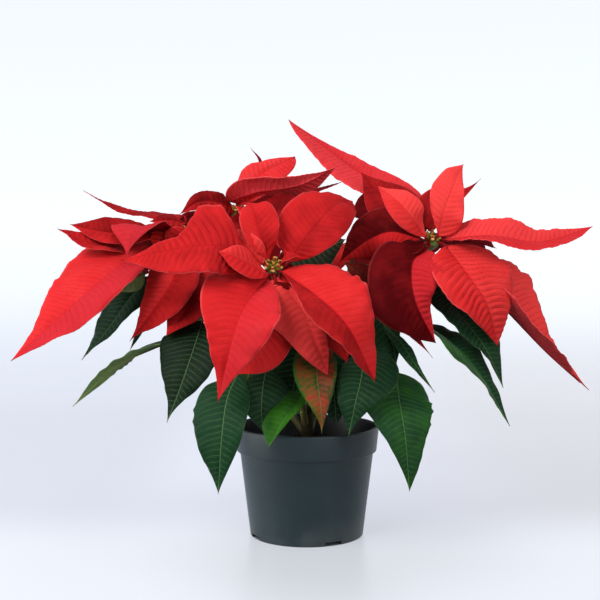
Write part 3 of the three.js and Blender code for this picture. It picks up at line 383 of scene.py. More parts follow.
class Form:
    """Points and faces of one piece. Each point has values that its material reads."""

    VALUES = ("vein", "across", "along", "tone", "blush", "quilt")

    def __init__(self):
        self.count = 0
        self.points, self.maps, self.faces, self.slots, self.round = [], [], [], [], []
        self.values = {name: [] for name in self.VALUES}

    def add_points(self, points, uv=None, **values):
        points = np.asarray(points, float).reshape(-1, 3)
        first, self.count = self.count, self.count + len(points)
        self.points.append(points)
        self.maps.append(np.zeros((len(points), 2)) if uv is None else np.reshape(uv, (-1, 2)))
        for name in self.VALUES:
            value = np.ravel(values.get(name, 0.0)).astype(float)
            self.values[name].append(np.broadcast_to(value, points.shape[:1]))
        return first

    def add_faces(self, faces, slot=0, rounded=True):
        self.faces += np.asarray(faces).tolist()
        self.slots += [slot] * len(faces)
        self.round += [rounded] * len(faces)

    def mesh(self, name):
        mesh = bpy.data.meshes.new(name)
        mesh.from_pydata(np.vstack(self.points) * MM, [], self.faces)
        return mesh

    def build(self, name, materials, slot, node):
        """Makes the piece, with its materials, its map and the values that they read."""
        mesh = self.mesh(name)
        for material in materials:
            mesh.materials.append(material)
        mesh.polygons.foreach_set("material_index", self.slots)
        mesh.polygons.foreach_set("use_smooth", self.round)
        corners = np.zeros(len(mesh.loops), int)
        mesh.loops.foreach_get("vertex_index", corners)
        uv = mesh.uv_layers.new(name="surface")
        uv.data.foreach_set("uv", np.vstack(self.maps)[corners].ravel())
        for key, parts in self.values.items():
            attribute = mesh.attributes.new(key, "FLOAT", "POINT")
            attribute.data.foreach_set("value", np.concatenate(parts))
        mesh.update()
        piece(mesh, name, slot, node)


def grid(rows, columns, first=0, closed=False, flip=False):
    """Four-sided faces of a grid of points, row by row. A closed one joins its last column to its first."""
    across = columns if closed else columns - 1
    r, c = np.meshgrid(np.arange(rows - 1), np.arange(across), indexing="ij")
    beside = (c + 1) % columns
    corners = [r * columns + c, r * columns + beside, (r + 1) * columns + beside, (r + 1) * columns + c]
    faces = first + np.stack(corners, -1).reshape(-1, 4)
    return faces[:, ::-1] if flip else faces


def add_rings(form, rings, slot=0, flip=False, ends=None, **values):
    """A closed skin over rings of points, with its two ends drawn to a point."""
    count, sides = rings.shape[:2]
    ends = ends or [rings[0].mean(0), rings[-1].mean(0)]
    u, v = np.meshgrid(np.arange(sides) / sides, np.arange(count) / count)
    spread = {k: np.repeat(x, sides) if np.ndim(x) else x for k, x in values.items()}
    first = form.add_points(rings, np.stack([u, v], -1), **spread)
    tips = [{k: x[i] if np.ndim(x) else x for k, x in values.items()} for i in (0, -1)]
    low = form.add_points(ends[:1], **tips[0])
    high = form.add_points(ends[1:], **tips[1])
    form.add_faces(grid(count, sides, first, closed=True, flip=flip), slot)
    i = np.arange(sides)
    beside = (i + 1) % sides
    last = first + (count - 1) * sides
    bottom = np.stack([first + beside, first + i, np.full(sides, low)], -1)
    top = np.stack([last + i, last + beside, np.full(sides, high)], -1)
    for faces in (bottom, top):
        form.add_faces(faces[:, ::-1] if flip else faces, slot)


def add_tube(form, points, radii, sides, slot=0, up=(0, 0, 1), **values):
    """A round tube along a line of points."""
    points = np.asarray(points, float)
    side, over = frames(points, np.asarray(up, float))
    a = np.arange(sides) * 2 * math.pi / sides
    radii = np.broadcast_to(radii, points.shape[:1])[:, None, None]
    ring = side[:, None] * np.cos(a)[:, None] + over[:, None] * np.sin(a)[:, None]
    add_rings(form, points[:, None] + radii * ring, slot, flip=True, **values)


def turned(profile, sides, start=0.0):
    """Rings of a shape turned round +Z from (radius, height) pairs, lowest pair first."""
    a = np.arange(sides) * 2 * math.pi / sides + start
    profile = np.asarray(profile, float)
    r, z = profile[:, :1], profile[:, 1:]
    return np.stack([r * np.cos(a), r * np.sin(a), np.broadcast_to(z, (len(profile), sides))], -1)


# ---------- a blade: leaf or bract with its stalk ----------
def half_width(blade, side, t):
    """Half width along the blade, 0 at the stalk and 1 at the tip."""
    fullest, taper = pair(blade["fullest"])[side], pair(blade["taper"])[side]
    neck = taper * fullest * pair(blade["neck"])[side] / (1 - fullest)
    peak = neck / (neck + taper)
    width = (np.maximum(t, 1e-6) / peak) ** neck * (np.maximum(1 - t, 1e-6) / (1 - peak)) ** taper
    for where, place, reach, spread in (*blade["corners"], *blade["teeth"]):
        if where == side:
            width = width + reach * np.maximum(0, 1 - np.abs(t - place) / spread)
    return np.maximum(width * pair(blade["halves"])[side] * blade["width"] / 2, BLADE["tip"])


def stalk_line(root, start, heading, steps):
    """The stalk bends out of its root and runs straight into the blade."""
    reach = np.linalg.norm(start - root)
    outward = unit(unit(start - root) + np.array([0, 0, 0.35]))
    bends = [root, root + outward * reach / 3, start - heading * reach / 3, start]
    u = np.linspace(0, 1, steps)[:, None]
    return sum(k * (1 - u) ** (3 - i) * u ** i * bends[i] for i, k in enumerate((1, 3, 3, 1)))


def add_blade(form, spec, root, kind, detail, rng):
    """Adds one blade. Slots: 0 its upper face, 1 its under face, 2 its rim, 3 its stalk and rib."""
    blade = {**DEFAULTS, "wave": spec["width"] * BLADE["wave"], **spec}
    rows, half = detail
    t = np.linspace(0, 1, rows + 1)
    centre, along = spline(blade["rib"], t)
    base_face, tip_face = look(*blade["face"]), look(*blade.get("tip_face", blade["face"]))
    face = base_face + (tip_face - base_face) * t[:, None]
    right = unit(np.cross(along, face))
    up = np.cross(right, along)
    run = run_along(centre)

    # The section is a V that bends toward its edges, rippled along the edge.
    s = np.arange(-half, half + 1) / half
    s = np.sign(s) * np.abs(s) ** BLADE["crowd"]
    v = np.abs(s)
    is_right = (s >= 0).astype(int)
    width = np.stack([half_width(blade, 0, t), half_width(blade, 1, t)], 1)[:, is_right]
    fold = np.radians(pair(blade["fold"]))[is_right]
    curl = np.radians(pair(blade["curl"]))[is_right]
    across = width * (np.sin(fold + curl * v) - np.sin(fold)) / curl
    rise = width * (np.cos(fold) - np.cos(fold + curl * v)) / curl
    fade = np.minimum(1, np.minimum(4 * t, 4 * (1 - t)))[:, None]
    ripple = np.sin(2 * math.pi * (blade["waves"] * t[:, None] + 0.5 * is_right))
    rise += blade["wave"] * ripple * v ** 2 * fade

    # Side veins leave the rib almost square to it and bend toward the tip.
    spacing = VEINS[kind] * rng.uniform(0.92, 1.1)
    flat = np.stack(np.broadcast_arrays(s * width, run[:, None]), -1)
    slide = (VEIN_LINE["slant"] * v + VEIN_LINE["bend"] * v ** 2) * width
    wander = VEIN_LINE["wander"] * Field(rng, VEIN_LINE["wander_size"])(flat)
    vein = (run[:, None] - slide) / spacing + 0.5 * is_right + wander
    puff = -np.cos(2 * math.pi * vein) * smooth(0.02, 0.3, v) * (1 - 0.6 * smooth(0.6, 1, v))
    size = smooth(0, 0.35, width / (0.5 * blade["width"]))
    rise += QUILT[kind] * blade["quilt"] * puff * size
    rise += RELIEF["swell"] * Field(rng, RELIEF["swell_size"])(flat) * size * smooth(0, 0.3, v)
    flutter = Field(rng, RELIEF["flutter_size"])(flat)
    rise += RELIEF["flutter"] * blade["wave"] * flutter * v ** 3 * fade * size
    rise -= RELIEF["groove"] * np.exp(-(v * width / RELIEF["groove_width"]) ** 2) * size

    across *= np.sign(s)
    middle = centre[:, None] + right[:, None] * across[..., None] + up[:, None] * rise[..., None]
    normal = np.cross(np.gradient(middle, axis=1), np.gradient(middle, axis=0))
    narrow = smooth(0.3, 1.5, width)[..., None]
    normal = unit(unit(normal) * narrow + up[:, None] * (1 - narrow))
    thick = BLADE["thick"] * (0.5 + 0.5 * smooth(1, 0.9, v)) / 2
    uv = flat / MAP["unit"] + [MAP["rib"], MAP["start"]]
    tone = np.array(pair(blade["tone"])) + rng.uniform(-0.06, 0.06)
    blush = np.array(pair(blade["blush"]), float)
    values = dict(vein=vein, across=v, along=t[:, None], tone=tone[is_right], blush=blush[is_right],
        quilt=blade["quilt"])
    values = {name: np.broadcast_to(value, vein.shape) for name, value in values.items()}
    columns = 2 * half + 1
    upper = form.add_points(middle + normal * thick[:, None], uv, **values)
    under = form.add_points(middle - normal * thick[:, None], uv, **values)
    form.add_faces(grid(rows + 1, columns, upper), 0)
    form.add_faces(grid(rows + 1, columns, under, flip=True), 1)
    add_edge(form, rows + 1, columns, upper, under, 2)

    # The stalk carries on under the blade as its rib.
    stalk = stalk_line(root, centre[0], along[0], 14)[:-1]
    inner = t < BLADE["rib_reach"]
    taper = BLADE["rib"] + (BLADE["rib_end"] - BLADE["rib"]) * (t[inner] / BLADE["rib_reach"]) ** 0.7
    sunk = (taper + BLADE["rib_sunk"]) * smooth(0, 0.06, t[inner])
    under_line = centre[inner] - up[inner] * sunk[:, None]
    radii = np.concatenate([np.linspace(BLADE["stalk"], BLADE["rib"], len(stalk)), taper])
    share = np.concatenate([np.linspace(-1, 0, len(stalk)), t[inner]])
    add_tube(form, np.vstack([stalk, under_line]), radii, 8, 3, up=up[0], along=share,
        tone=tone.mean(), blush=blush.mean())


def add_edge(form, rows, columns, upper, under, slot, rounded=False):
    """The thin strip round a sheet, between its upper and its under grid of points."""
    r, c = np.arange(rows), np.arange(columns)
    loop = np.concatenate([c, r[1:] * columns + columns - 1, (rows - 1) * columns + c[:-1][::-1],
        r[1:-1][::-1] * columns])
    after = np.roll(loop, -1)
    form.add_faces(np.stack([upper + loop, under + loop, under + after, upper + after], -1), slot, rounded)


def arched(base, plan, reach, rise, drop, width):
    """A blade that arches out and down along a compass direction, plan: 0 is +X and 90 is +Y."""
    a = math.radians(plan)
    sway = SWAY * reach * math.sin(5 * a)
    rib = tuple((
        base[0] + reach * u * math.cos(a) - sway * u * u * math.sin(a),
        base[1] + reach * u * math.sin(a) + sway * u * u * math.cos(a),
        base[2] + rise * u - drop * u * u,
    ) for u in (0, 1 / 3, 2 / 3, 1))
    return dict(rib=rib, width=width, face=(plan + 90, 75), tip_face=(plan + 90 + 2 * sway, 35),
        fullest=0.42 + sway / 200)


# ---------- stems ----------
def stem_path(name):
    """The points of a stem, from its socket in the main stem to the underside of its bloom's hub."""
    stem = STEMS[name]
    first = np.array([*stem["path"][0][:2], 0.0])
    heading = unit(first)
    start = heading * BRANCH["socket"] + [0, 0, stem["height"]]
    collar = heading * (BRANCH["socket"] + BRANCH["collar"]) + [0, 0, stem["height"] + BRANCH["collar_rise"]]
    crown = np.array(stem["hub"]) - look(*stem["axis"]) * HUB["depth"] * 0.6
    return np.array([start, collar, *stem["path"], crown], float)


def add_stem(form, name, rng, slot):
    """A green stem, browner and thicker low down, swollen where each leaf stalk leaves it."""
    t = np.linspace(0, 1, 110)
    places, _ = spline(stem_path(name), t)
    run = run_along(places)
    share = run / run[-1]
    radii = BRANCH["radius"] + (BRANCH["tip_radius"] - BRANCH["radius"]) * share
    joints = [leaf["at"] for leaf in LEAVES[name].values()] + [leaf[0] for leaf in ARCHED_LEAVES[name]]
    scars = list(rng.uniform(0.08, 0.4, NODE["scars"]))
    for at in joints + scars:
        radii = radii + NODE["swell"] * np.exp(-((share - at) * run[-1] / NODE["reach"]) ** 2)
    radii = radii + 0.08 * Field(rng, 9, axes=1)(run[:, None])
    add_tube(form, places, radii, 16, slot, along=share)
    for at in scars:
        add_scar(form, even_point(stem_path(name), at), rng.uniform(0, 360), slot)


def add_scar(form, place, plan, slot):
    """The small raised pad that a fallen leaf leaves."""
    out = look(plan, 0)
    side = np.cross(out, [0, 0, 1])
    a = np.arange(12) * math.pi / 6
    rings = [place + out * (BRANCH["radius"] + lift)
        + size * (side * np.cos(a)[:, None] * 1.5 + np.array([0, 0, 1.0]) * np.sin(a)[:, None])
        for lift, size in ((-1.2, 1), (0.3, 0.95), (0.55, 0.7), (0.35, 0.4))]
    add_rings(form, np.array(rings), slot, flip=True, along=0.15)


# ---------- blooms ----------
def on_axis(rings, name):
    """Moves a shape drawn round +Z onto a bloom's hub and axis."""
    stem = STEMS[name]
    turn = Vector((0, 0, 1)).rotation_difference(Vector(look(*stem["axis"]))).to_matrix()
    return rings @ np.array(turn).T + np.array(stem["hub"], float)


def add_hub(form, name, rng, slot):
    """The knob that carries the bracts and the cups."""
    radius, depth, top = HUB["radius"], HUB["depth"], HUB["top"]
    profile = [(0.5 * radius, -depth), (0.85 * radius, -0.6 * depth), (radius, -0.1 * depth),
        (radius, 0.4 * top), (0.85 * radius, 0.85 * top), (0.5 * radius, top), (0.2 * radius, top + 0.3)]
    rings = turned(profile, 28)
    rings = rings * (1 + 0.07 * Field(rng, 4, axes=3)(rings))[..., None]
    add_rings(form, on_axis(rings, name), slot, along=0.5)


def cup_places():
    """One cup in the middle and the others round it."""
    turns = [2 * math.pi * i / CUP["around"] + CUP["turn"] for i in range(CUP["around"])]
    return [(0.0, 0.0)] + [(CUP["ring"] * math.cos(a), CUP["ring"] * math.sin(a)) for a in turns]


def add_cup(form, name, place, turn, size, rng):
    """A small green cup. Slots: 0 the cup, 1 its red fringe, 2 its yellow gland, 3 its stamens."""
    r, low, high = CUP["radius"] * size, CUP["low"], CUP["low"] + CUP["height"] * size
    tall = high - low
    profile = [(0.55 * r, low), (0.8 * r, low + 0.15 * tall), (r, low + 0.42 * tall),
        (0.97 * r, low + 0.6 * tall), (0.78 * r, low + 0.82 * tall), (0.7 * r, low + 0.94 * tall),
        (0.62 * r, high), (0.5 * r, low + 0.97 * tall), (0.42 * r, low + 0.8 * tall)]
    rings = turned(profile, 16)
    rings[..., :2] *= (1 + 0.05 * np.cos(5 * np.arange(16) * math.pi / 8))[:, None]
    add_rings(form, on_axis(rings + [*place, 0], name), 0, along=0.5)
    mouth = np.array([*place, high])
    for i in range(CUP["lobes"]):
        out, side = spoke(turn + 2 * math.pi * (i + 0.5) / CUP["lobes"])
        lobe = np.array([
            mouth + out * r * (0.62 - 0.3 * u) + side * w * r * (1 - 0.5 * u) + [0, 0, 0.9 * u * size]
            for u in (-0.3, 0.3, 0.8, 1.1) for w in (-0.25, -0.1, 0.1, 0.25)])
        front = form.add_points(on_axis(lobe, name))
        back = form.add_points(on_axis(lobe - 0.25 * out, name))
        form.add_faces(grid(4, 4, front), 1)
        form.add_faces(grid(4, 4, back, flip=True), 1)
        add_edge(form, 4, 4, front, back, 1, rounded=True)
    add_gland(form, name, place, turn, r, high, size)
    for i in range(CUP["stamens"]):
        a = turn + 2 * math.pi * i / CUP["stamens"] + rng.uniform(-0.3, 0.3)
        lean = rng.uniform(0.15, 0.5) * r
        rise = rng.uniform(0.8, 2.4) * size
        foot = mouth + [0.2 * r * math.cos(a), 0.2 * r * math.sin(a), -1]
        top = mouth + [lean * math.cos(a), lean * math.sin(a), rise]
        line = on_axis(np.array([foot + (top - foot) * u for u in (0, 0.5, 1)]), name)
        add_tube(form, line, 0.16, 5, 3, along=0.1)
        for side in (-0.28, 0.28):
            dot = turned([(0.12, -0.3), (0.32, -0.1), (0.34, 0.12), (0.14, 0.32)], 6)
            shift = [side * math.sin(a), side * math.cos(a), 0]
            add_rings(form, on_axis(dot + top + shift, name), 3, along=0.9)


def add_gland(form, name, place, turn, r, high, size):
    """The yellow two-lipped gland that hangs on the outer side of a cup, open upward."""
    out, side = spoke(turn)
    centre = np.array([*place, high - 1.3 * size]) + out * r * 1.05
    shape = [(0.5, -1.1, 0.5), (1.25, -0.6, 0.9), (1.6, 0.2, 1.15), (1.62, 0.75, 1.25), (1.35, 0.95, 1.0),
        (1.1, 0.55, 0.75), (0.7, -0.1, 0.4)]
    a = np.arange(18) * 2 * math.pi / 18
    pinch = 1 - 0.22 * np.cos(2 * a) ** 8
    rings = []
    for wide, lift, deep in shape:
        flat = side * (wide * np.cos(a) * 1.05)[:, None] + out * (deep * np.sin(a) * pinch)[:, None]
        raised = np.array([0, 0, 1.0]) * (lift + 0.25 * np.cos(a) ** 2)[:, None]
        rings.append(centre + size * (flat + raised))
    add_rings(form, on_axis(np.array(rings), name), 2, along=0.5)


# ---------- pot ----------
def eased(profile, radius, steps=4):
    """A profile with each corner rounded by about that radius, less where its sides are short."""
    points = [np.array(p, float) for p in profile]
    made = [points[0]]
    for before, corner, after in zip(points, points[1:], points[2:]):
        cut = min(radius, 0.45 * np.linalg.norm(before - corner), 0.45 * np.linalg.norm(after - corner))
        start = corner + cut * unit(before - corner)
        end = corner + cut * unit(after - corner)
        for u in np.linspace(0, 1, steps):
            made.append((1 - u) ** 2 * start + 2 * u * (1 - u) * corner + u ** 2 * end)
    return made + [points[-1]]


def pot_profile():
    """The pot's half section, from the middle of its foot out, up, over the rim and down inside."""
    recess, ring = POT["foot_recess"], POT["foot_radius"] - POT["foot_ring"]
    height, step = POT["height"], POT["height"] - POT["collar_height"]
    foot, rim, wall = POT["foot_radius"], POT["rim_radius"], POT["wall"]
    body, collar = POT["body_top_radius"], POT["collar_foot_radius"]
    pad, lip, inner_floor = POT["foot_pad"], POT["lip"], recess + POT["floor"]
    return [(0, 0), (pad, 0), (pad + 1, recess), (ring, recess), (ring, 0), (foot, 0), (body, step),
        (collar, step), (rim, height - 1), (rim - lip, height), (rim - wall - lip, height),
        (rim - wall - 1, height - 1), (collar - wall, step + 1), (body - wall, step - 1),
        (foot - wall + POT["floor_flare"], inner_floor), (0, inner_floor)]


def lathe_mesh(name, profile, segments):
    """A closed mesh turned round +Z from a profile that starts and ends on the axis."""
    form = Form()
    rings = turned([point for point in profile if point[0] > 1e-6], segments)
    add_rings(form, rings, ends=[[0, 0, profile[0][1]], [0, 0, profile[-1][1]]])
    return form.mesh(name)


def box_cutter(width, depth, height, place, turn):
    """A box mesh, turned about +Z after it is put in place."""
    signs = np.array([(x, y, z) for z in (-1, 1) for y in (-1, 1) for x in (-1, 1)], float)
    points = signs * [width / 2, depth / 2, height / 2] + place
    c, s = math.cos(turn), math.sin(turn)
    points = points @ np.array([[c, s, 0], [-s, c, 0], [0, 0, 1]])
    mesh = bpy.data.meshes.new("cutter")
    sides = [(0, 2, 3, 1), (4, 5, 7, 6), (0, 1, 5, 4), (2, 6, 7, 3), (0, 4, 6, 2), (1, 3, 7, 5)]
    mesh.from_pydata(points * MM, [], sides)
    return mesh


def round_cutter(radius, height, place):
    form = Form()
    add_rings(form, turned([(radius, -height / 2), (radius, height / 2)], 24) + place)
    return form.mesh("cutter")


def cut(mesh, cutters):
    """The mesh less the cutters, as a new mesh."""
    body = place_object("cut_body", mesh)
    tools = [place_object("cut_tool", cutter) for cutter in cutters]
    for tool in tools:
        step = body.modifiers.new("cut", "BOOLEAN")
        step.object, step.operation, step.solver = tool, "DIFFERENCE", "EXACT"
    graph = bpy.context.evaluated_depsgraph_get()
    made = bpy.data.meshes.new_from_object(body.evaluated_get(graph))
    for extra in [body, *tools]:
        bpy.data.objects.remove(extra)
    return made


def make_pot(materials):
    """The nursery pot, with drain slots round its foot and drain holes in its floor."""
    step = math.tau / POT["slots"]
    cutters = [box_cutter(POT["slot_width"], 4 * POT["foot_ring"], 2 * POT["slot_height"],
        (0, -POT["foot_radius"], 0), math.radians(POT["slot_turn"]) + i * step) for i in range(POT["slots"])]
    for i in range(POT["holes"]):
        a = math.tau * (i + 0.5) / POT["holes"]
        place = (POT["hole_circle"] * math.cos(a), POT["hole_circle"] * math.sin(a), POT["foot_recess"])
        cutters.append(round_cutter(POT["hole_radius"], 4 * POT["floor"], place))
    mesh = cut(lathe_mesh("pot_body", eased(pot_profile(), POT["ease"]), POT["segments"]), cutters)
    mesh.materials.clear()
    mesh.materials.append(materials["pot"])
    mesh.polygons.foreach_set("use_smooth", [True] * len(mesh.polygons))
    mesh.set_sharp_from_angle(angle=math.radians(POT["sharp"]))
    piece(mesh, "nursery_pot", "pot", "pot")


# ---------- soil ----------
def inside_radius(z):
    """The radius of the pot's inner wall at a height."""
    low = POT["foot_recess"] + POT["floor"]
    high = POT["height"] - POT["collar_height"] - 1
    share = min(max((z - low) / (high - low), 0), 1)
    bottom, top = POT["foot_radius"] - POT["wall"] + POT["floor_flare"], POT["body_top_radius"] - POT["wall"]
    return bottom + (top - bottom) * share


def soil_swell(x, y):
    """How far the soil's surface rises and falls in broad swells."""
    return SOIL["wave"] * np.sin(x / 7 + 1) * np.cos(y / 9)


def make_soil(materials, rng):
    """Peat: a lumpy top in the pot, with loose crumbs half sunk in it."""
    form = Form()
    low, top = POT["foot_recess"] + POT["floor"] + SOIL["gap"], SOIL["top"]
    edge = inside_radius(top) - SOIL["gap"]
    profile = [(0.5 * inside_radius(low), low)]
    profile += [(inside_radius(z) - SOIL["gap"], z) for z in np.linspace(low, top - SOIL["slope"], 10)]
    profile += [(edge * r, top) for r in np.linspace(0.985, 0.02, 60)]
    rings = turned(profile, 200)
    flat = rings[..., :2]
    is_top = rings[..., 2] > top - 0.01
    x, y = flat[..., 0], flat[..., 1]
    lumps = sum(high * Field(rng, size, waves=waves)(flat) for high, size, waves in SOIL["lumps"])
    relief = soil_swell(x, y) + lumps * smooth(edge, 0.93 * edge, np.hypot(x, y))
    rings[..., 2] += np.where(is_top, relief, 0)
    add_rings(form, rings, 0, along=0.5)
    for _ in range(SOIL["crumbs"]):
        r, a = edge * 0.94 * math.sqrt(rng.uniform(0.02, 1)), rng.uniform(0, math.tau)
        size = rng.uniform(0.5, 1.9)
        x, y = r * math.cos(a), r * math.sin(a)
        z = top + soil_swell(x, y) + rng.uniform(-0.2, 0.9)
        crumb = turned([(0.45, -0.8), (0.9, -0.3), (0.95, 0.25), (0.5, 0.75)], 7) * size
        crumb *= 1 + 0.25 * Field(rng, 1.6, axes=3, waves=4)(crumb)[..., None]
        add_rings(form, crumb + [x, y, z], 0, along=rng.uniform(0, 1))
    form.build("potting_soil", [materials["soil"]], "soil", "soil")


def make_main_stem(materials, rng):
    """The short woody stem that the leafy stems branch from."""
    form = Form()
    z = np.linspace(MAIN_STEM["foot"], MAIN_STEM["top"], 70)
    radius = MAIN_STEM["radius"] * (1 - MAIN_STEM["waist"] * np.sin((z - z[0]) / 14))
    ends = np.minimum(1, 0.5 + np.minimum(z - z[0], z[-1] - z) / 3)
    rings = turned(np.stack([radius * ends, z], 1), 28)
    ridges = Field(rng, MAIN_STEM["ridge_size"], axes=3)(rings * [1, 1, MAIN_STEM["ridge_stretch"]])
    grain = Field(rng, MAIN_STEM["grain_size"], axes=3, waves=14)(rings)
    bark = MAIN_STEM["ridge"] * ridges + MAIN_STEM["grain"] * grain
    rings[..., :2] *= (1 + bark / MAIN_STEM["radius"])[..., None]
    add_rings(form, rings, 0, along=np.linspace(0, 0.5, len(z)))
    form.build("woody_stem", [materials["bark"]], "wood", "main_stem")


# ---------- leafy stems and blooms as pieces ----------
def make_leafy_stem(name, materials, rng):
    """One green stem with its leaves."""
    form = Form()
    path = stem_path(name)
    for leaf in LEAVES[name].values():
        add_blade(form, leaf, even_point(path, leaf["at"]), "leaf", FINE, rng)
    for at, base, *shape in ARCHED_LEAVES[name]:
        add_blade(form, arched(base, *shape), even_point(path, at), "leaf", COARSE, rng)
    add_stem(form, name, rng, 4)
    kinds = [materials[k] for k in ("leaf_upper", "leaf_under", "leaf_rim", "leaf_stalk", "green_stem")]
    form.build(f"foliage_{name}", kinds, "leaf", f"leafy_stem_{name}")


def make_bracts(name, materials, rng):
    """The red bracts of one bloom, with the hub that they grow on."""
    form = Form()
    root = np.array(STEMS[name]["hub"], float)
    for bract in BRACTS[name].values():
        add_blade(form, bract, root, "bract", FINE, rng)
    for order, (plan, *shape) in enumerate(ARCHED_BRACTS[name]):
        a = math.radians(plan)
        lift = 1 + LAYER["step"] * (order % 2)
        base = root + [LAYER["start"] * math.cos(a), LAYER["start"] * math.sin(a), lift]
        add_blade(form, arched(base, plan, *shape), root, "bract", COARSE, rng)
    add_hub(form, name, rng, 4)
    kinds = [materials[k] for k in ("bract_upper", "bract_under", "bract_rim", "shaded_bract_stalk", "hub")]
    form.build(f"red_bracts_{name}", kinds, "bract", f"bracts_{name}")


def make_cups(name, materials, rng):
    """The cups of one bloom, with a few small buds between them."""
    form = Form()
    for order, place in enumerate(cup_places()):
        turn = math.atan2(place[1], place[0]) if order else rng.uniform(0, math.tau)
        add_cup(form, name, place, turn + rng.uniform(-0.5, 0.5), rng.uniform(0.86, 1.0), rng)
    for order in range(CUP["buds"]):
        a = math.tau * (order + 0.4) / CUP["buds"]
        bud = (CUP["bud_ring"] * math.cos(a), CUP["bud_ring"] * math.sin(a))
        rings = turned([(0.5, 4.6), (1.1, 5.6), (1.25, 7), (0.9, 8.4), (0.3, 9)], 12) + [*bud, 0]
        add_rings(form, on_axis(rings, name), 0, along=0.2)
    kinds = [materials[k] for k in ("cup", "fringe", "gland", "stamen")]
    form.build(f"flower_cups_{name}", kinds, "cyathia", f"cyathia_{name}")


# ---------- materials ----------
def srgb(red, green, blue):
    """A colour given as 0 to 255, in the linear numbers that shaders take."""
    shares = [c / 255 for c in (red, green, blue)]
    return (*(c / 12.92 if c <= 0.04045 else ((c + 0.055) / 1.055) ** 2.4 for c in shares), 1.0)


class Paint:
    """A procedural material, with short calls that add and join its nodes."""

    def __init__(self, name, **sockets):
        self.material = bpy.data.materials.new(name)
        self.material.use_nodes = True
        self.tree = self.material.node_tree
        self.shader = self.tree.nodes["Principled BSDF"]
        self.set(self.shader, sockets)

    def set(self, node, sockets):
        for key, value in sockets.items():
            socket = node.inputs[key.replace("_", " ") if isinstance(key, str) else key]
            if isinstance(value, bpy.types.NodeSocket):
                self.tree.links.new(value, socket)
            else:
                socket.default_value = value
        return node

    def add(self, kind, sockets=None, **settings):
        node = self.tree.nodes.new("ShaderNode" + kind)
        for key, value in settings.items():
            setattr(node, key, value)
        return self.set(node, sockets or {})

    def value(self, name):
        return self.add("Attribute", attribute_name=name).outputs["Fac"]

    def surface(self):
        """Places on the blade's own map."""
        return self.add("UVMap", uv_map="surface").outputs["UV"]

    def place(self):
        return self.add("TexCoord").outputs["Object"]

    def parts(self, vector):
        return self.add("SeparateXYZ", {0: vector}).outputs

    def math(self, operation, *values):
        return self.add("Math", dict(enumerate(values)), operation=operation).outputs[0]

    def plus(self, first, second):
        return self.math("ADD", first, second)

    def times(self, first, *others):
        for other in others:
            first = self.math("MULTIPLY", first, other)
        return first

    def length(self, x, y):
        return self.math("SQRT", self.plus(self.times(x, x), self.times(y, y)))

    def step(self, value, low, high, start=0.0, end=1.0):
        sockets = {0: value, 1: low, 2: high, 3: start, 4: end}
        return self.add("MapRange", sockets, interpolation_type="SMOOTHSTEP").outputs[0]

    def spread(self, noise, start=0.0, end=1.0):
        """A noise, which stays near its middle, spread over a wider range."""
        return self.step(noise, 0.3, 0.7, start, end)

    def mix(self, share, first, second):
        sockets = {0: share, 6: first, 7: second}
        return self.add("Mix", sockets, data_type="RGBA").outputs[2]

    def noise(self, where, scale, detail=3.0, rough=0.55):
        sockets = {"Vector": where, "Scale": scale, "Detail": detail, "Roughness": rough}
        return self.add("TexNoise", sockets).outputs["Fac"]

    def net(self, where, scale):
        sockets = {"Vector": where, "Scale": scale}
        return self.add("TexVoronoi", sockets, feature="DISTANCE_TO_EDGE").outputs["Distance"]

    def bump(self, height, strength, distance, below=None):
        sockets = {"Strength": strength, "Distance": distance, "Height": height}
        if below is not None:
            sockets["Normal"] = below
        return self.add("Bump", sockets).outputs[0]

    def finish(self, **sockets):
        self.set(self.shader, sockets)
        return self.material


# Colours of a blade's face, each with the share of it that shows where it is drawn, and its gloss. light and
# deep are lit and shaded copies of the base colour, toward which the tone paints light and shade; the edge
# colour is partly the edge's own paleness and partly a painted highlight; on bracts the dark rib colour is
# painted shade in the midrib's crease. patch is how far the blush breaks up into patches, and mottle how far
# the tone varies.
SKINS = {
    "bract_upper": dict(base=(204, 34, 36), light=(238, 66, 64), deep=(64, 0, 2), blush=(176, 44, 58),
        vein=(104, 0, 8), vein_share=0.36, rib=(130, 4, 14), rib_share=0.4, net_share=0.08, patch=0.1,
        mottle=0.1, edge=(238, 98, 100), pale_edge_and_glint_share=0.42, rough=0.6, specular=0.03),
    "bract_under": dict(base=(196, 38, 46), light=(232, 70, 76), deep=(64, 0, 6), blush=(150, 20, 44),
        vein=(96, 4, 16), vein_share=0.4, rib=(150, 28, 42), rib_share=0.5, net_share=0.14, patch=0.1,
        mottle=0.07, edge=(238, 98, 100), pale_edge_and_glint_share=0.42, rough=0.7, specular=0.02),
    "leaf_upper": dict(base=(14, 50, 28), light=(48, 112, 12), deep=(4, 20, 10), blush=(178, 34, 44),
        vein=(108, 150, 92), vein_share=0.34, rib=(120, 160, 100), rib_share=0.42, net_share=0.05, patch=0.5,
        mottle=0.16, edge=(76, 106, 52), pale_edge_and_glint_share=0.36, rough=0.45, specular=0.07),
    "leaf_under": dict(base=(74, 110, 56), light=(140, 168, 108), deep=(30, 60, 30), blush=(160, 60, 60),
        vein=(36, 66, 34), vein_share=0.4, rib=(160, 174, 112), rib_share=0.7, net_share=0.2, patch=0.3,
        mottle=0.16, edge=(150, 172, 110), pale_edge_and_glint_share=0.36, rough=0.6, specular=0.05),
}
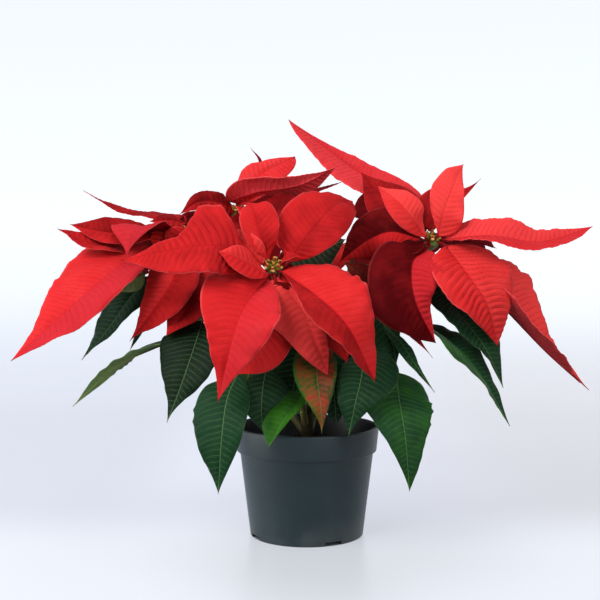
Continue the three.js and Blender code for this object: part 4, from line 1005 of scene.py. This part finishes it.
# Two colours, the roughness, the scale of the noise that mixes them, and what else differs.
PLAIN = {
    # The rims are paler than the faces: partly their own paleness, partly a painted highlight along the
    # edge.
    "bract_rim": ((226, 66, 66), (240, 104, 96), 0.55, 60.0, {}),
    "leaf_rim": ((96, 132, 66), (140, 150, 84), 0.5, 60.0, {}),
    # Bract stalks and ribs are painted darker than their own red, as painted shade under the cups and
    # bracts.
    "shaded_bract_stalk": ((110, 12, 16), (150, 22, 28), 0.6, 120.0, dict(specular=0.05)),
    "leaf_stalk": ((150, 46, 44), (116, 128, 66), 0.42, 90.0, dict(by_place=True)),
    "green_stem": ((104, 92, 58), (86, 116, 52), 0.45, 140.0, dict(by_place=True)),
    "hub": ((96, 60, 34), (92, 122, 46), 0.5, 200.0, {}),
    "cup": ((66, 84, 26), (122, 132, 50), 0.5, 260.0, dict(specular=0.15)),
    "fringe": ((150, 16, 20), (196, 44, 36), 0.5, 300.0, {}),
    "gland": ((190, 132, 56), (232, 196, 124), 0.3, 300.0, dict(specular=0.4)),
    "stamen": ((168, 26, 22), (226, 178, 60), 0.5, 300.0, dict(by_place=True)),
    "bark": ((34, 27, 18), (56, 48, 30), 0.8, 160.0, dict(specular=0.15, relief=0.0008)),
}


def skin_paint(name):
    """A blade's face: side veins, a fine net between them, the blade's own tone with painted light and
    shade, and its blush.
    """
    skin = {k: srgb(*v) if isinstance(v, tuple) else v for k, v in SKINS[name].items()}
    paint = Paint(name, Specular_IOR_Level=skin["specular"])
    surface = paint.surface()
    vein, across, along, tone, blush, quilt = (paint.value(key) for key in Form.VALUES)
    cloud = paint.noise(surface, 9.0, 4.0)
    grain = paint.noise(surface, 60.0, 5.0, 0.6)

    # Side veins with a thinner one midway between two, fainter near the edge and broken up by the grain.
    apart = paint.math("PINGPONG", vein, 0.5)
    midway = paint.math("PINGPONG", paint.plus(paint.times(vein, 2.0), 0.5), 0.5)
    thin = paint.step(midway, 0.0, 0.1, 0.3, 0.0)
    lines = paint.math("MAXIMUM", paint.step(apart, 0.0, 0.09, 1.0, 0.0), thin)
    broken = paint.step(grain, 0.3, 0.6, 0.5, 1.0)
    lines = paint.times(lines, paint.step(across, 0.35, 1.0, 1.0, 0.25), broken)
    off_rib = paint.math("ABSOLUTE", paint.math("SUBTRACT", paint.parts(surface)[0], MAP["rib"]))
    rib = paint.step(off_rib, 0.0005, 0.0024, 1.0, 0.0)
    net = paint.step(paint.net(surface, 170.0), 0.0, 0.16, 1.0, 0.0)

    # Painted light and shade: the tone mixes the base colour toward the lit light colour or the shaded deep
    # one.
    bright = paint.plus(tone, paint.spread(cloud, -skin["mottle"], skin["mottle"]))
    colour = paint.mix(paint.step(bright, 0.0, 1.0), skin["base"], skin["light"])
    colour = paint.mix(paint.step(bright, 0.0, -1.0), colour, skin["deep"])
    speckle = paint.plus(paint.spread(cloud, -0.5, 0.5), paint.spread(grain, -0.4, 0.4))
    speckle = paint.plus(paint.plus(speckle, lines), paint.step(across, 0.8, 1.0, 0.0, -1.0))
    speckle = paint.times(speckle, skin["patch"], paint.step(blush, 0.0, 0.3))
    colour = paint.mix(paint.step(paint.plus(blush, speckle), 0.0, 1.0), colour, skin["blush"])
    colour = paint.mix(paint.times(net, skin["net_share"]), colour, skin["vein"])
    # Side veins drawn darker on the more puffed blades: the veins' own colour plus painted shade in the
    # grooves between the puffs.
    drawn = paint.step(quilt, 1.0, 3.5, skin["vein_share"], 2.2 * skin["vein_share"])
    colour = paint.mix(paint.times(lines, drawn), colour, skin["vein"])
    # On bracts the dark rib line is painted shade in the midrib's crease; on leaves the pale rib is the
    # midrib's own colour.
    colour = paint.mix(paint.times(rib, skin["rib_share"]), colour, skin["rib"])
    # The pale edge: partly the edge's own paleness, partly a painted highlight that grows as the tone gets
    # lighter.
    edge = paint.step(across, 0.94, 0.995, 0.0, skin["pale_edge_and_glint_share"])
    edge = paint.times(edge, paint.step(tone, -0.8, 0.2, 0.3, 1.0))
    colour = paint.mix(edge, colour, skin["edge"])
    tip = paint.step(along, 0.975, 1.0, 0.0, 0.6)
    colour = paint.mix(tip, colour, skin["deep"])

    fine = paint.bump(paint.plus(net, grain), 0.25, 0.00035)
    ridged = paint.bump(paint.math("MAXIMUM", lines, rib), 0.45, 0.0004, fine)
    rough = paint.plus(skin["rough"], paint.spread(grain, -0.06, 0.08))
    return paint.finish(Base_Color=colour, Roughness=rough, Normal=ridged)


def plain_paint(name, low, high, rough, scale, specular=0.3, relief=0.0003, by_place=False):
    """A matt or waxy finish that runs between two colours, by noise or by the place along the piece."""
    paint = Paint(name, Roughness=rough, Specular_IOR_Level=specular)
    noise = paint.noise(paint.place(), scale, 5.0)
    share = paint.spread(noise)
    if by_place:
        share = paint.plus(paint.times(share, 0.3), paint.step(paint.value("along"), 0.0, 0.7, 0.0, 0.7))
    colour = paint.mix(share, srgb(*low), srgb(*high))
    return paint.finish(Base_Color=colour, Normal=paint.bump(noise, 0.4, relief))


def pot_paint():
    """Moulded slate-green plastic: a fine satin grain, faint flow marks, a little dust low down, and painted
    shade on the inner wall above the soil.
    """
    paint = Paint("moulded_plastic", Specular_IOR_Level=0.32)
    place = paint.place()
    grain = paint.noise(place, 900.0, 4.0, 0.6)
    cloud = paint.noise(place, 16.0, 4.0)
    x, y, z = paint.parts(place)
    bands = paint.noise(paint.add("CombineXYZ", {2: z}).outputs[0], 120.0, 3.0)
    colour = paint.mix(paint.spread(cloud), srgb(18, 34, 38), srgb(24, 42, 47))
    dust = paint.times(paint.step(z, 0.03, 0.0, 0.0, 0.22), paint.step(cloud, 0.4, 0.65))
    colour = paint.mix(dust, colour, srgb(110, 112, 106))

    # Painted shade: the wall inside the pot above the soil, all that lies about a wall's thickness deep, is
    # painted near black.
    slope = (POT["rim_radius"] - POT["collar_foot_radius"]) / POT["collar_height"]
    start = (POT["collar_foot_radius"] - slope * (POT["height"] - POT["collar_height"])) * MM
    outer = paint.plus(paint.times(z, slope), start)
    deep = paint.math("SUBTRACT", outer, paint.length(x, y))
    inside = paint.times(paint.step(deep, 0.0018, 0.0021), paint.step(z, 0.078, 0.08))
    colour = paint.mix(inside, colour, srgb(8, 9, 8))
    rough = paint.plus(paint.spread(cloud, 0.34, 0.42), paint.spread(grain, -0.03, 0.05))
    relief = paint.bump(paint.plus(grain, paint.times(bands, 0.6)), 0.12, 0.0002)
    return paint.finish(Base_Color=colour, Roughness=rough, Normal=relief)


def soil_paint():
    """Damp dark peat with paler fibres and crumbs."""
    paint = Paint("peat", Roughness=0.95, Specular_IOR_Level=0.15)
    place = paint.place()
    grain = paint.noise(place, 700.0, 6.0, 0.7)
    clump = paint.noise(place, 130.0, 4.0)
    colour = paint.mix(paint.step(clump, 0.35, 0.65), srgb(20, 15, 12), srgb(44, 33, 25))
    colour = paint.mix(paint.step(grain, 0.62, 0.72, 0.0, 0.6), colour, srgb(86, 66, 46))
    return paint.finish(Base_Color=colour, Normal=paint.bump(grain, 0.7, 0.0008))


def make_materials():
    made = {name: skin_paint(name) for name in SKINS}
    made.update({name: plain_paint(name, *look, **more) for name, (*look, more) in PLAIN.items()})
    return {**made, "pot": pot_paint(), "soil": soil_paint()}


# ---------- floor, light and camera, in metres and watts ----------
FLOOR = dict(start=0.05, flat=1.0, bend=1.6, wall=3.4)
CAMERA = dict(place=(-0.0061, -1.0, 0.262), pitch=2.84, lens=66.5, sensor=36)
PLANT_MIDDLE = (0, 0, 0.22)
LIGHTS = {
    "key": dict(place=(-1.0, -1.2, 1.3), size=(0.9, 0.9), power=27),
    "fill": dict(place=(0.9, -1.5, 0.7), size=(1.2, 1.2), power=16, colour=(0.97, 0.98, 1)),
    "side": dict(place=(-1.2, -0.35, 0.3), aim=(0, 0, 0.1), size=(0.5, 1.0), power=7),
    "low": dict(place=(-0.9, -0.12, 0.02), aim=(0, 0, 0.03), size=(0.25, 0.1), power=0.07, spread=12),
    "top": dict(place=(0, 0.2, 2.0), size=(1.2, 1.2), power=12),
}
AIR = dict(colour=(0.93, 0.96, 1, 1), strength=0.2)


def stage_paint():
    """White that glows a little, as in a light tent, with painted shade: greyer and bluer in the plant's
    shade, dimmer behind the plant on the left, and dimmer close round the pot as a painted shadow."""
    paint = Paint("studio_white", Roughness=0.35, Specular_IOR_Level=0.25)
    x, y, z = paint.parts(paint.add("NewGeometry").outputs["Position"])
    out = paint.length(x, y)
    behind = paint.step(y, -0.08, 0.12)
    colour = paint.mix(paint.step(out, 0.7, 2.0), srgb(124, 126, 131), srgb(236, 244, 250))
    shade = paint.times(behind, paint.step(z, 0.16, 0.0))
    grey = paint.mix(paint.step(x, -0.05, 0.35), srgb(228, 232, 248), srgb(216, 215, 222))
    tint = paint.mix(shade, srgb(243, 247, 255), grey)
    left = paint.times(paint.step(x, -0.1, -0.24, 0.0, 0.15), behind, paint.step(z, 0.36, 0.05))
    # Painted shadow of the pot on the floor: the glow dims in a soft patch round the pot's front right.
    away = paint.length(paint.math("SUBTRACT", x, 0.03), paint.plus(y, 0.07))
    near = paint.step(away, 0.06, 0.2, 0.15, 0.0)
    glow = paint.times(paint.step(out, 0.7, 2.0, 0.62, 0.56), paint.step(out, 0.049, 0.052))
    glow = paint.times(glow, paint.math("SUBTRACT", 1.0, paint.plus(left, near)))
    return paint.finish(Base_Color=colour, Emission_Color=tint, Emission_Strength=glow)


def make_stage():
    """A pale floor that sweeps up into a round wall."""
    profile = [(r, 0.0) for r in np.linspace(FLOOR["start"], FLOOR["flat"], 8).tolist()]
    for a in np.linspace(0, math.pi / 2, 24)[1:]:
        profile.append((FLOOR["flat"] + FLOOR["bend"] * math.sin(a), FLOOR["bend"] * (1 - math.cos(a))))
    profile.append((FLOOR["flat"] + FLOOR["bend"], FLOOR["wall"]))
    form = Form()
    add_rings(form, turned([(r / MM, z / MM) for r, z in profile], 96))
    top_centre = form.count - 1
    form.faces = [face for face in form.faces if top_centre not in face]
    mesh = form.mesh("studio_floor")
    mesh.polygons.foreach_set("use_smooth", [True] * len(mesh.polygons))
    mesh.materials.append(stage_paint())
    floor = place_object("studio_floor", mesh)
    floor.visible_diffuse = False  # the lights alone set how the plant is lit
    floor.visible_shadow = False


def add_light(name, place, size, power, aim=PLANT_MIDDLE, colour=(1, 1, 1), spread=180):
    light = bpy.data.lights.new(name, "AREA")
    light.shape, light.size, light.size_y = "RECTANGLE", size[0], size[1]
    light.energy, light.color, light.spread = power, colour, math.radians(spread)
    lamp = place_object(name, light)
    lamp.location = place
    lamp.rotation_euler = (Vector(aim) - Vector(place)).to_track_quat("-Z", "Y").to_euler()


def make_lights():
    """Soft studio lights, and a little light from all round."""
    for name, light in LIGHTS.items():
        add_light(name, **light)
    world = bpy.data.worlds.new("studio")
    world.use_nodes = True
    air = world.node_tree.nodes["Background"].inputs
    air["Color"].default_value, air["Strength"].default_value = AIR["colour"], AIR["strength"]
    bpy.context.scene.world = world


def make_camera():
    """The photograph's viewing angle."""
    data = bpy.data.cameras.new("camera")
    data.lens, data.sensor_width = CAMERA["lens"], CAMERA["sensor"]
    camera = place_object("camera", data)
    camera.location = CAMERA["place"]
    camera.rotation_euler = (math.radians(90 - CAMERA["pitch"]), 0, 0)
    bpy.context.scene.camera = camera


# ---------- the whole plant ----------
materials = make_materials()
make_pot(materials)
make_soil(materials, np.random.default_rng(SEED))
make_main_stem(materials, np.random.default_rng(SEED + 1))
for order, stem in enumerate(STEMS):
    make_leafy_stem(stem, materials, np.random.default_rng(SEED + 10 + order))
    make_bracts(stem, materials, np.random.default_rng(SEED + 20 + order))
    make_cups(stem, materials, np.random.default_rng(SEED + 30 + order))
make_stage()
make_lights()
make_camera()
bpy.context.scene.view_settings.view_transform = "Standard"
